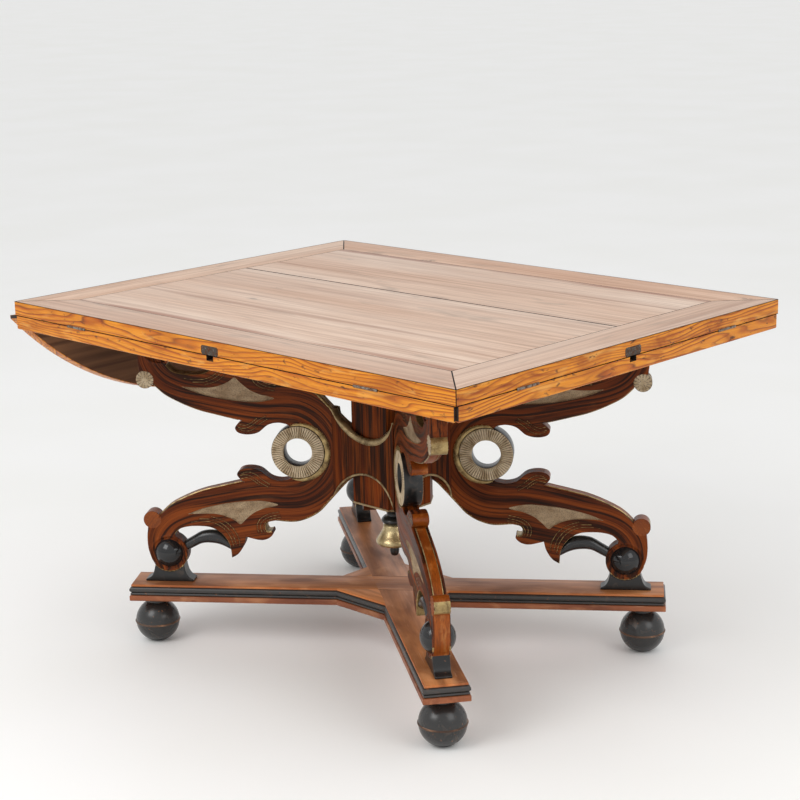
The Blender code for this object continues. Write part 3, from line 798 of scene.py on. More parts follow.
def moulded_block(plan: Array, signs: Sequence[float], profile: Array) -> Shape:
    """A block whose edges follow a moulding.

    At each height of the profile every side of the plan is moved out by sign times the profile's
    out, and neighbouring sides meet where their moved lines cross.

    Args:
        plan: The block's corners, anticlockwise.
        signs: For each side, from its corner to the next: 1 to follow the moulding, -1 to draw back.
        profile: Rows of (out, height).

    Returns:
        The closed block, with the profile's row as each side face's finish number.
    """
    run = np.roll(plan, -1, axis=0) - plan
    normal = stack([run[:, 1], -run[:, 0]]) / norm(run, axis=1)[:, None]
    sign = np.asarray(signs, float)
    before, sign_before = np.roll(normal, 1, axis=0), np.roll(sign, 1)
    cross = before[:, 0] * normal[:, 1] - before[:, 1] * normal[:, 0]
    rings = []
    for out, height in profile:
        a, b = out * sign_before, out * sign
        shift = stack([(a * normal[:, 1] - b * before[:, 1]) / cross,
                                 (b * before[:, 0] - a * normal[:, 0]) / cross])
        rings.append(stack([plan + shift, np.full(len(plan), height)]))
    shape = loft(np.array(rings))
    rows = np.repeat(np.arange(len(profile) - 1), len(plan))
    shape.finishes = np.concatenate([rows, [0, len(profile) - 1]])
    return shape


def rounded_profile(bottom: float, top: float, round_bottom: float, round_top: float) -> Array:
    """A straight edge between two quarter rounds: (r cos a - r, r sin a) from each end's corner.

    Args:
        bottom: Its lowest height.
        top: Its highest height.
        round_bottom: The lower round's radius.
        round_top: The upper round's radius.

    Returns:
        Rows of (out, height).
    """
    turn = np.radians(np.linspace(0, 90, 5))
    low = stack([round_bottom * (np.sin(turn) - 1), bottom + round_bottom * (1 - np.cos(turn))])
    high = stack([round_top * (np.cos(turn) - 1), top - round_top * (1 - np.sin(turn))])
    return np.vstack([low, high])


def piece(name: str, shape: Shape, body: str, finishes: Sequence[Finish],
          replaces: Sequence[str] = (), smooth: float = 40.0,
          attributes: dict[str, Array] | None = None) -> bpy.types.Object:
    """Turn a shape into an object that rides on a body.

    Args:
        name: The piece's name.
        shape: Its surface, in place.
        body: The body that it moves with.
        finishes: Its finishes, in the order of the shape's finish numbers.
        replaces: The frame's nodes that it stands for.
        smooth: Edges sharper than this many degrees stay crisp.
        attributes: Values for each point: one number or three.

    Returns:
        The new object.
    """
    mesh = bpy.data.meshes.new(name)
    mesh.from_pydata(shape.points.tolist(), [], shape.faces)
    if shape.finishes is not None:
        mesh.polygons.foreach_set("material_index", np.asarray(shape.finishes, np.int32))
    for label, values in (attributes or {}).items():
        wide = values.ndim == 2
        made = mesh.attributes.new(label, "FLOAT_VECTOR" if wide else "FLOAT", "POINT")
        made.data.foreach_set("vector" if wide else "value", np.asarray(values, np.float32).ravel())
    mesh.update()
    mesh.shade_smooth()
    mesh.set_sharp_from_angle(angle=math.radians(smooth))
    made = shown(name, mesh)
    for finish in finishes:
        mesh.materials.append(finish.material())
    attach(made, body)
    if replaces:
        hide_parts(*replaces)
    log.info("%s: %d faces on %s", name, len(shape.faces), body)
    return made


# ==== legs
class LegFinish(IntEnum):
    """The finishes on a leg board, by their place in its list."""

    ROSEWOOD = 0
    STIPPLE = 1
    AMBER = 2
    EBONY = 3
    GILT = 4
    RIBBED = 5


@dataclass
class ScrollLeg:
    """A carved leg board: a C of two arms with a flame-carved tongue, claw and lobe on each.

    Its shape is worked out below its middle height and mirrored above it.  A spot on a face is
    (distance out from the column's axis, height).
    """

    name: str
    angle: float
    thickness: float = 0.034
    inner_r: float = 0.0845
    ring_centre: tuple[float, float] = (0.203, LEG_MID)
    ring_radius: float = 0.058
    scroll_centre: tuple[float, float] = (0.4985, 0.2065)
    scroll_radius: float = 0.042
    shoulder_centre: tuple[float, float] = (0.532, 0.2825)
    shoulder_radius: float = 0.0195
    ball_radius: float = 0.0355
    horn_half_width: float = 0.014
    grid_step: float = 0.0023
    crescent_width: float = 0.0125
    flute_count: int = 60
    moon_height: float = 0.0032
    panel_depth: float = 0.0024  # the stippled panels are sunk
    panel_slope: float = 0.0012
    rim: Vec3 = (0.0392, 0.0026, 0.0016)  # the scroll's: radius, half width, height
    scroll_floor: tuple[float, float] = (0.0366, 0.0012)  # inside that rim: radius, depth
    rib_count: int = 14  # on the shoulder's disc
    rib_depth: float = 0.0014
    flute_steps: int = 8  # samples across a flute of the ring
    flute_rise: float = 0.0009
    groove_depth: float = 0.0017
    groove_share: float = 0.17  # of a flute, each side of its edge
    panel_steps: int = 5
    ring_thickness: float = 0.04
    ring_hole: float = 0.031
    across: Sequence[float] = (0.965, 0.82, 0.765, 0.725, 0.66, 0.6, 0.3, 0.0)
    strokes: dict[str, Array] = field(default_factory=dict)

    PANEL = ((0.452, 0.297), (0.42, 0.31), (0.381, 0.32), (0.338, 0.327), (0.288, 0.33),
             (0.251, 0.3225), (0.265, 0.3165), (0.281, 0.313), (0.3035, 0.303), (0.322, 0.288),
             (0.335, 0.276), (0.3455, 0.283), (0.362, 0.2915), (0.3855, 0.298), (0.414, 0.299))
    SPINE = ((0.115, LEG_MID), (0.117, 0.415), (0.13, 0.385), (0.155, 0.355), (0.19, 0.335),
             (0.23, 0.329), (0.28, 0.329), (0.34, 0.32), (0.4, 0.308), (0.45, 0.298),
             (0.49, 0.28), (0.515, 0.25), (0.52, 0.215), (0.505, 0.175), (0.5, 0.141))
    FLAMES = (
        ((0.33, 0.389), (0.315, 0.395), (0.298, 0.39), (0.282, 0.377), (0.266, 0.367)),
        ((0.334, 0.3845), (0.319, 0.3885), (0.303, 0.383), (0.287, 0.3705), (0.27, 0.361)),
        ((0.33, 0.379), (0.317, 0.382), (0.304, 0.377), (0.29, 0.366)),
        ((0.445, 0.279), (0.42, 0.2815), (0.395, 0.2785), (0.374, 0.2665), (0.359, 0.247),
         (0.352, 0.223)),
        ((0.426, 0.287), (0.398, 0.2855), (0.372, 0.2735), (0.354, 0.2525), (0.3465, 0.229)),
        ((0.4, 0.2925), (0.372, 0.283), (0.352, 0.2655), (0.3405, 0.243), (0.339, 0.227)),
        ((0.25, 0.305), (0.272, 0.3), (0.29, 0.2895), (0.2985, 0.274), (0.295, 0.256)),
        ((0.248, 0.2985), (0.268, 0.2945), (0.284, 0.286), (0.2915, 0.273), (0.288, 0.256)),
        ((0.246, 0.293), (0.264, 0.2895), (0.2785, 0.282), (0.285, 0.27), (0.281, 0.256)),
    )
    ROUNDING = {"inner_edge": 0.0042, "curl": 0.003, "arm_top": 0.0022, "scallop": 0.0022, "heel": 0.0018}
    SOFT = 0.0012  # the other arrises' rounding

    def lower_strokes(self) -> dict[str, Array]:
        """The outline below the middle, stroke by stroke, from the ring round to the column.

        Returns:
            Each stroke's points, by its name.
        """
        cx, cz = self.shoulder_centre
        hollow = circle_arc(self.ring_centre, self.ring_radius + SEAM, 180, 285, 44)
        shoulder = circle_arc((cx, cz), self.shoulder_radius, 150, -57, 26)
        tongue = [hollow[-1], (0.227, 0.3785), (0.246, 0.3757), (0.267, 0.381), (0.288, 0.3975),
                  (0.311, 0.4025), (0.331, 0.399), (0.3385, 0.389), (0.333, 0.3795), (0.3225, 0.3715)]
        pad_z = BEAM_TOP + SEAM
        return {
            "hollow": hollow,
            "tongue": flowing(tongue, 7),
            "arm_top": flowing([(0.3225, 0.3715), (0.383, 0.357), (0.419, 0.3475), (0.456, 0.3325),
                                (0.49, 0.314), (0.516, 0.29)], 12),
            "shoulder": shoulder,
            "heel": flowing([shoulder[-1], (0.5455, 0.2405), (0.544, 0.214), (0.5365, 0.19)], 8),
            "pad_outer": flowing([(0.5306, 0.1795), (0.5352, 0.162), (0.5415, 0.1512), (0.553, 0.1452),
                                  (0.553, pad_z)], 6),
            "pad_foot": np.linspace((0.553, pad_z), (0.4465, pad_z), 40),
            "pad_inner": flowing([(0.4465, pad_z), (0.4465, 0.1452), (0.456, 0.151), (0.4625, 0.162),
                                  (0.4663, 0.1795)], 6),
            "scroll": circle_arc(self.scroll_centre, self.scroll_radius, 215, 114, 24),
            "scallop": flowing([(0.4835, 0.2505), (0.47, 0.263), (0.4495, 0.2685), (0.4265, 0.2695),
                                (0.402, 0.267), (0.3815, 0.256), (0.367, 0.239), (0.36, 0.221),
                                (0.358, 0.198)], 7),
            "claw": flowing([(0.358, 0.198), (0.3425, 0.208), (0.33, 0.227), (0.3245, 0.247)], 7),
            "lobe": flowing([(0.3245, 0.247), (0.294, 0.24), (0.2755, 0.2435), (0.2645, 0.2535),
                             (0.266, 0.262)], 7),
            "curl": flowing([(0.266, 0.262), (0.2755, 0.2605), (0.2795, 0.2695), (0.275, 0.28),
                             (0.2585, 0.2845)], 7),
            "inner_edge": flowing([(0.2585, 0.2845), (0.2175, 0.282), (0.1855, 0.2905), (0.159, 0.3065),
                                   (0.1375, 0.3295), (0.1005, 0.3705), (self.inner_r, 0.3835)], 9),
            "hub_edge": np.linspace((self.inner_r, 0.3835), (self.inner_r, LEG_MID), 24),
        }

    def outline(self) -> tuple[Array, Array, Array]:
        """The lower outline as one open line.

        Returns:
            Its points, each point's stroke number, and how far along its stroke each point is, 0 to 1.
        """
        self.strokes = self.lower_strokes()
        points = np.vstack(list(self.strokes.values()))
        stroke = np.concatenate([np.full(len(s), k) for k, s in enumerate(self.strokes.values())])
        part = np.concatenate([np.linspace(0, 1, len(s)) for s in self.strokes.values()])
        keep = np.concatenate([[True], norm(np.diff(points, axis=0), axis=1) > 4e-5])
        return points[keep], stroke[keep], part[keep]

    def panel(self) -> Array:
        """The stippled panel's outline, as one smooth loop without its last point."""
        return flowing(np.vstack([self.PANEL, self.PANEL[:1]]), self.panel_steps)[:-1]

    def crescent(self, spots: Array) -> tuple[Array, Array]:
        """The raised moon round the ring, widest towards the column.

        Its width is crescent_width times the square root of a cosine of the angle from the column's
        side, and its section is half an ellipse moon_height high.

        Args:
            spots: Folded (distance out, height) spots.

        Returns:
            The height of the moon at each spot, and whether the spot is on it.
        """
        off = spots - np.asarray(self.ring_centre)
        radius = np.hypot(off[:, 0], off[:, 1])
        turn = np.abs(np.pi - np.mod(np.arctan2(off[:, 1], off[:, 0]), 2 * np.pi))
        width = self.crescent_width * np.sqrt(np.clip(np.cos(turn * 0.84), 0, 1))
        across = (radius - self.ring_radius) / np.maximum(width, 1e-6) * 2 - 1
        on = (np.abs(across) < 1) & (width > 0.001)
        return np.where(on, self.moon_height * np.sqrt(np.clip(1 - across ** 2, 0, 1)), 0.0), on

    def depth(self, spots: Array, edge: Array, rounding: Array) -> Array:
        """How far the carved face lies below the board's flat face.

        An arris of radius R is a quarter circle: R - sqrt(R^2 - (R - d)^2) at a distance d from the
        edge.  The panels are sunk behind a narrow slope, the moon and the scroll's rim stand up as
        half rounds, and the shoulder has rib_count radial flutes.

        Args:
            spots: Folded (distance out, height) spots.
            edge: Distance to the outline.
            rounding: The nearest arris's radius.

        Returns:
            The depth at each spot, negative where the carving stands proud.
        """
        short = np.clip(rounding - edge, 0, rounding)
        sunk = rounding - np.sqrt(np.clip(rounding ** 2 - short ** 2, 0, None))
        panel = self.panel()
        border = nearest_on(np.vstack([panel, panel[:1]]), spots)[0]
        within = inside(panel, spots)
        sunk = sunk + np.where(within, self.panel_depth * np.clip(border / self.panel_slope, 0, 1), 0)
        sunk = sunk - self.crescent(spots)[0]
        rho = norm(spots - np.asarray(self.scroll_centre), axis=1)
        radius, half_width, height = self.rim
        rim = np.clip(1 - ((rho - radius) / half_width) ** 2, 0, 1)
        floor_radius, floor_depth = self.scroll_floor
        sunk = sunk - height * np.sqrt(rim) + np.where(rho < floor_radius, floor_depth, 0)
        off = spots - np.asarray(self.shoulder_centre)
        rho = np.hypot(off[:, 0], off[:, 1])
        flute = 0.5 - 0.5 * np.cos(self.rib_count * np.arctan2(off[:, 1], off[:, 0]))
        on_bead = (rho < self.shoulder_radius) & (rho > 0.004)
        return sunk + np.where(on_bead, self.rib_depth * flute * np.clip(rho / 0.012, 0, 1), 0)

    def face_spots(self, line: Array) -> Array:
        """Spots inside the lower outline: three rows along its edge and a grid.

        Args:
            line: The closed outline's points.

        Returns:
            The spots, one per row.
        """
        closed = np.vstack([line, line[:1]])
        low, high = closed.min(0), closed.max(0)
        step = self.grid_step
        rows, columns = np.meshgrid(np.arange(low[1], high[1], step * 0.866), np.arange(low[0], high[0], step),
                                    indexing="ij")
        columns = columns + (np.arange(rows.shape[0]) % 2)[:, None] * step / 2
        grid = stack([columns.ravel(), rows.ravel()])
        run = np.roll(line, -1, axis=0) - np.roll(line, 1, axis=0)
        normal = stack([run[:, 1], -run[:, 0]]) / norm(run, axis=1)[:, None]
        found = []
        for reach in (0.0005, 0.0012, 0.0026):
            for side in (-1, 1):
                row = line[::1 if reach < 0.002 else 2] + side * reach * normal[::1 if reach < 0.002 else 2]
                row = row[inside(line, row)]
                distance = nearest_on(closed, row)[0]
                found.append(row[distance > reach * 0.93])
        grid = grid[inside(line, grid)]
        grid = grid[nearest_on(closed, grid)[0] > 0.0036]
        spots = np.vstack(found + [grid])
        return spots[spots[:, 1] < LEG_MID - 0.0004]

    def board(self) -> tuple[Shape, dict[str, Array]]:
        """The whole carved board in its own frame: out along X, up along Z, half its thickness each way in Y.

        Both faces are the outline's triangles set at y = +-(half - depth).  The edge is a grid: points
        of the outline by positions across, each moved outwards by the arm's moulding.

        Returns:
            The closed shape, and its grain and flame values.
        """
        line, stroke, part = self.outline()
        names = list(self.strokes)
        count = len(line)
        seam = np.linspace(line[-1], line[0], 30)[1:-1]
        panel = self.panel()
        middle = panel.mean(0)
        rim = panel + (middle - panel) * self.panel_slope / norm(middle - panel, axis=1)[:, None]
        border = np.vstack([line, seam])
        fill = self.face_spots(border)
        fill = fill[nearest_on(np.vstack([panel, panel[:1]]), fill)[0] > 0.0009]
        given = np.vstack([border, panel, rim, fill])
        loops = [np.arange(len(border)), len(border) + np.arange(len(panel))]
        edges = [(int(a), int(b)) for loop in loops for a, b in zip(loop, np.roll(loop, -1))]
        made = delaunay_2d_cdt([Vector(p) for p in given.tolist()], edges, [], 1, 1e-7)
        spots = np.array([tuple(p) for p in made[0]])
        triangles = np.array(made[2])
        place = np.full(len(given), -1)
        for new, olds in enumerate(made[3]):
            place[olds] = new

        on_seam = np.abs(spots[:, 1] - LEG_MID) < 1e-6
        above = np.where(on_seam, np.arange(len(spots)), 0)
        above[~on_seam] = len(spots) + np.arange((~on_seam).sum())
        mirrored = spots[~on_seam] * [1, -1] + [0, 2 * LEG_MID]
        folded = np.vstack([spots, spots[~on_seam]])
        spread = np.vstack([spots, mirrored])
        faces = np.vstack([triangles, above[triangles][:, ::-1]])
        lower = place[:count]
        loop = np.concatenate([lower, above[lower[-2:0:-1]]])
        stroke = np.concatenate([stroke, stroke[-2:0:-1]])
        part = np.concatenate([part, part[-2:0:-1]])

        names_at = np.array([self.ROUNDING.get(n, self.SOFT) for n in names])
        distance, _, _, run = nearest_on(line, folded)
        distance[loop] = 0.0
        rounding = names_at[stroke[:count]][run]
        rounding[loop] = names_at[stroke]
        half = self.thickness / 2 - self.depth(folded, distance, rounding)
        half[loop] = self.thickness / 2 - names_at[stroke]

        ring = spread[loop]
        ahead = np.roll(ring, -1, axis=0) - np.roll(ring, 1, axis=0)
        area = float((ring[:, 0] * np.roll(ring[:, 1], -1) - np.roll(ring[:, 0], -1) * ring[:, 1]).sum())
        outward = np.sign(area) * stack([ahead[:, 1], -ahead[:, 0]])
        outward /= norm(outward, axis=1)[:, None]
        crown = np.where(stroke == names.index("arm_top"),
                         np.clip(part / 0.05, 0, 1) * np.clip((1 - part) / 0.05, 0, 1), 0.0)
        tiers = np.concatenate([self.across, [-t for t in self.across[-2::-1]]])
        moulding = np.interp(np.abs(tiers), (0.0, 0.6, 0.66, 0.725, 0.765, 0.82, 0.965),
                             (0.0026, 0.0022, 0.0028, 0.0012, 0.0002, 0.001, 0.0002))
        edge_spots = ring[None] + outward[None] * (crown[None] * moulding[:, None])[..., None]
        edge_y = tiers[:, None] * half[loop][None]

        n = len(spread)
        front = stack([spread[:, 0], half, spread[:, 1]])
        back = stack([spread[:, 0], -half, spread[:, 1]])
        wall = np.stack([edge_spots[..., 0], edge_y, edge_spots[..., 1]], 2).reshape(-1, 3)
        index = np.vstack([loop, 2 * n + np.arange(len(wall)).reshape(len(tiers), -1), n + loop])
        quads = index.ravel()[grid_faces(len(index), len(loop), False, True)]
        if area < 0:
            quads = quads[:, ::-1]
        polygons = ([tuple(f) for f in faces[:, ::-1].tolist()] + [tuple(f) for f in (faces + n).tolist()]
                    + [tuple(f) for f in quads.tolist()])

        face_finish = self.face_finish(folded[faces].mean(1), distance[faces].mean(1), run[faces[:, 0]],
                                       stroke[:count], names, spread[faces].mean(1)[:, 1] > LEG_MID)
        edge_finish = self.edge_finish(names, stroke, part, np.concatenate([[1.0], tiers, [-1.0]]),
                                       ring[:, 1] > LEG_MID)
        shape = Shape(np.vstack([front, back, wall]), polygons,
                      np.concatenate([face_finish, face_finish, edge_finish]))

        spine = flowing(self.SPINE, 4)
        gap, along, side, _ = nearest_on(spine, folded)
        sense = np.where(spread[:, 1] < LEG_MID, 1.0, -1.0)
        seed = 7.0 * (1 + list(LEGS).index(self.name))
        grain = stack([along * sense + seed, gap * side, half])
        back_grain = stack([along * sense - seed, gap * side, half])
        wall_grain = np.stack([np.tile(grain[loop, 0], (len(tiers), 1)), np.tile(grain[loop, 1], (len(tiers), 1)),
                               edge_y], 2).reshape(-1, 3)
        flame = np.min([nearest_on(flowing(f, 5), folded)[0] for f in self.FLAMES], axis=0)
        off = folded - np.asarray(self.shoulder_centre)
        valley = (0.5 - 0.5 * np.cos(self.rib_count * np.arctan2(off[:, 1], off[:, 0]))) ** 2
        valley = valley * np.clip(np.hypot(off[:, 0], off[:, 1]) / 0.006, 0, 1)
        return shape, {"gap": np.concatenate([valley, valley, np.zeros(len(wall))]),
                       "grain": np.vstack([grain, back_grain, wall_grain]),
                       "line_gap": np.concatenate([flame, flame, np.ones(len(wall))])}

    def face_finish(self, middles: Array, distance: Array, run: Array, stroke: Array,
                    names: Sequence[str], upper: Array) -> Array:
        """Which finish each face triangle has, from its folded middle, its nearest edge and its half.

        Args:
            middles: Each triangle's folded middle.
            distance: How far it is from the outline.
            run: The outline's run nearest to it.
            stroke: Each outline point's stroke number.
            names: The strokes' names.
            upper: Whether it is above the middle height.

        Returns:
            A finish number for each triangle.
        """
        finish = np.zeros(len(middles), int)
        finish[inside(self.panel(), middles)] = LegFinish.STIPPLE
        nearest = np.array(names)[stroke[run]]
        for name, reach in (("inner_edge", 0.0034), ("curl", 0.0022), ("scallop", 0.001)):
            finish[(nearest == name) & (distance < reach * np.where(upper, 1.35, 1.0))] = LegFinish.GILT
        finish[self.crescent(middles)[1]] = LegFinish.GILT
        rho = norm(middles - np.asarray(self.scroll_centre), axis=1)
        finish[(rho > 0.0405) & (rho < 0.0424) & (middles[:, 1] < 0.2)] = LegFinish.GILT
        finish[(middles[:, 1] < 0.1795) & (rho > self.scroll_radius)] = LegFinish.EBONY
        rho = norm(middles - np.asarray(self.shoulder_centre), axis=1)
        finish[(rho < self.shoulder_radius * 0.97) & upper] = LegFinish.RIBBED
        finish[(rho < self.shoulder_radius * 0.97) & ~upper] = LegFinish.AMBER
        return finish

    def edge_finish(self, names: Sequence[str], stroke: Array, part: Array, tiers: Array,
                    upper: Array) -> Array:
        """Which finish each face of the edge has, from its stroke, its place across and its half.

        Args:
            names: The strokes' names.
            stroke: Each edge column's stroke number.
            part: How far along its stroke it is.
            tiers: The rows' positions across, from 1 to -1.
            upper: Whether it is above the middle height.

        Returns:
            A finish number for each face, row by row.
        """
        plain = {"tongue": LegFinish.ROSEWOOD, "heel": LegFinish.AMBER, "pad_outer": LegFinish.EBONY,
                 "pad_foot": LegFinish.EBONY, "pad_inner": LegFinish.EBONY, "scallop": LegFinish.GILT,
                 "curl": LegFinish.GILT, "inner_edge": LegFinish.GILT, "shoulder": LegFinish.AMBER}
        base = np.array([int(plain.get(n, LegFinish.ROSEWOOD)) for n in names])[stroke]
        base[(stroke == names.index("tongue")) & (part > 0.62)] = LegFinish.AMBER
        base[(stroke == names.index("shoulder")) & (part > 0.5) & (part < 0.9)] = LegFinish.GILT
        base[upper & (stroke == names.index("shoulder"))] = LegFinish.GILT
        base[upper & (stroke == names.index("heel"))] = LegFinish.ROSEWOOD
        finish = np.tile(base, (len(tiers) - 1, 1))
        middle = np.abs((tiers[:-1] + tiers[1:]) / 2)[:, None]
        arm = np.tile(stroke == names.index("arm_top"), (len(tiers) - 1, 1))
        finish = np.where(arm & (middle < 0.6), LegFinish.AMBER, finish)
        finish = np.where(arm & (middle > 0.6) & (middle < 0.73), LegFinish.GILT, finish)
        return finish.ravel()

    def horn(self, upper: bool) -> Shape:
        """The black horn across the scallop: an oval section carried between two curves.

        Args:
            upper: Whether it is the upper arm's.

        Returns:
            The horn in the board's frame.
        """
        outer = flowing([(0.47, 0.228), (0.447, 0.242), (0.425, 0.254), (0.4, 0.257),
                         (0.38, 0.2515), (0.356, 0.229)], 8)
        inner = flowing([(0.463, 0.207), (0.445, 0.2165), (0.425, 0.226), (0.402, 0.227),
                         (0.38, 0.222), (0.352, 0.208)], 8)
        if upper:
            outer, inner = (c * [1, -1] + [0, 2 * LEG_MID] for c in (outer, inner))
        middle, rise = (outer + inner) / 2, (outer - inner) / 2
        path = stack([middle[:, 0], np.zeros(len(middle)), middle[:, 1]])
        wide = np.tile([0.0, self.horn_half_width, 0.0], (len(path), 1))
        return tube(path, wide, stack([rise[:, 0], np.zeros(len(rise)), rise[:, 1]]), 24)

    def ball(self) -> Shape:
        """The foot scroll's ball, its axis across the leg: radius (cos a, sin a) turned.

        Returns:
            The ball in the board's frame.
        """
        angle = np.linspace(-math.pi / 2 + 0.03, math.pi / 2 - 0.03, 33)
        shape = turning(self.ball_radius * stack([np.cos(angle), np.sin(angle)]), 56)
        points = shape.points[:, [0, 2, 1]] + [self.scroll_centre[0], 0, self.scroll_centre[1]]
        return Shape(points, shape.faces).outward()

    def ring(self) -> tuple[Shape, dict[str, Array]]:
        """The fluted ring: a section carried round its axis, its two faces cut by radial grooves.

        Across a flute whose phase p runs from -1/2 to 1/2 and is 0 at its edge, the face rises by
        flute_rise sin(pi |p|), and a groove_depth groove is cut where |p| is under groove_share.

        Returns:
            The closed shape, and its gap values.
        """
        half, hole, rim = self.ring_thickness / 2, self.ring_hole, self.ring_radius
        face = np.linspace(hole + 0.0012, rim - 0.0022, 6)
        section = [(hole, -half + 0.0015), (hole, half - 0.0015)] + [(r, half) for r in face]
        section += [(rim - 0.0007, half - 0.0008), (rim, half - 0.0028), (rim, -half + 0.0028),
                    (rim - 0.0007, -half + 0.0008)] + [(r, -half) for r in face[::-1]]
        section = np.array(section)
        samples = self.flute_count * self.flute_steps
        angle = 2 * np.pi * np.arange(samples) / samples
        phase = (np.arange(samples) % self.flute_steps) / self.flute_steps
        phase = np.where(phase > 0.5, phase - 1, phase)
        groove = np.clip(1 - np.abs(phase) / self.groove_share, 0, 1)
        crown = self.flute_rise * np.sin(np.pi * np.abs(phase))
        on_face = (np.abs(section[:, 1]) > half - 0.0001).astype(float)
        lift = (crown - self.groove_depth * groove)[:, None] * on_face[None]
        radius = section[None, :, 0]
        y = section[None, :, 1] + np.sign(section[None, :, 1]) * (lift - 0.0008 * on_face[None])
        points = np.stack([self.ring_centre[0] + radius * np.cos(angle)[:, None], y,
                           self.ring_centre[1] + radius * np.sin(angle)[:, None]], 2)
        shape = loft(points, closed=False)
        columns = np.arange(len(section))
        flat = (on_face[columns] + on_face[(columns + 1) % len(section)] > 0).astype(int)
        shape.finishes = np.tile(1 - flat, samples)
        return shape, {"gap": (groove[:, None] * on_face[None]).ravel()}

    def build(self) -> None:
        """Make the board, both horns, the ball and the ring, turned to the leg's direction."""
        name, turned = self.name, (self.angle, CENTRE)
        shape, values = self.board()
        piece("%s_carved_leg" % name, shape.turned(*turned), "root",
              (PaintedRosewood("painted_rosewood_carved", Grain.CARVED, flames=True),
               StippledGround(grain=Grain.CARVED), AmberPaint(grain=Grain.CARVED), Ebonised(wear=0.5),
               AgedGilt("leg_gilt", gold="#a8905f", dull="#5a4226", metal=0.65, rough=0.32),
               AgedGilt("ribbed_gilt", gold="#b8a588", dull="#8a7352", metal=0.2, fluted=True)),
              ["%s_leg_board" % name], 50, values)
        horn_finish = Ebonised("ebonised_horn", rough=0.25, black="#1f1f20")
        for upper in (False, True):
            piece("%s_%s_horn" % (name, "upper" if upper else "lower"), self.horn(upper).turned(*turned), "root",
                  (horn_finish,), [] if upper else ["%s_horn" % name], 60)
        polish = Ebonised("polished_ebonised_wood", wear=0.15, rough=0.13, black="#1b1b1c")
        piece("%s_polished_ball" % name, self.ball().turned(*turned), "root", (polish,),
              ["%s_scroll_ball" % name], 60)
        shape, values = self.ring()
        piece("%s_gilded_ring" % name, shape.turned(*turned), "root",
              (AgedGilt("fluted_gilt", gold="#c6b497", dull="#8e7757", metal=0.1, rough=0.5, fluted=True),
               Ebonised()), ["%s_fluted_ring" % name], 60, values)


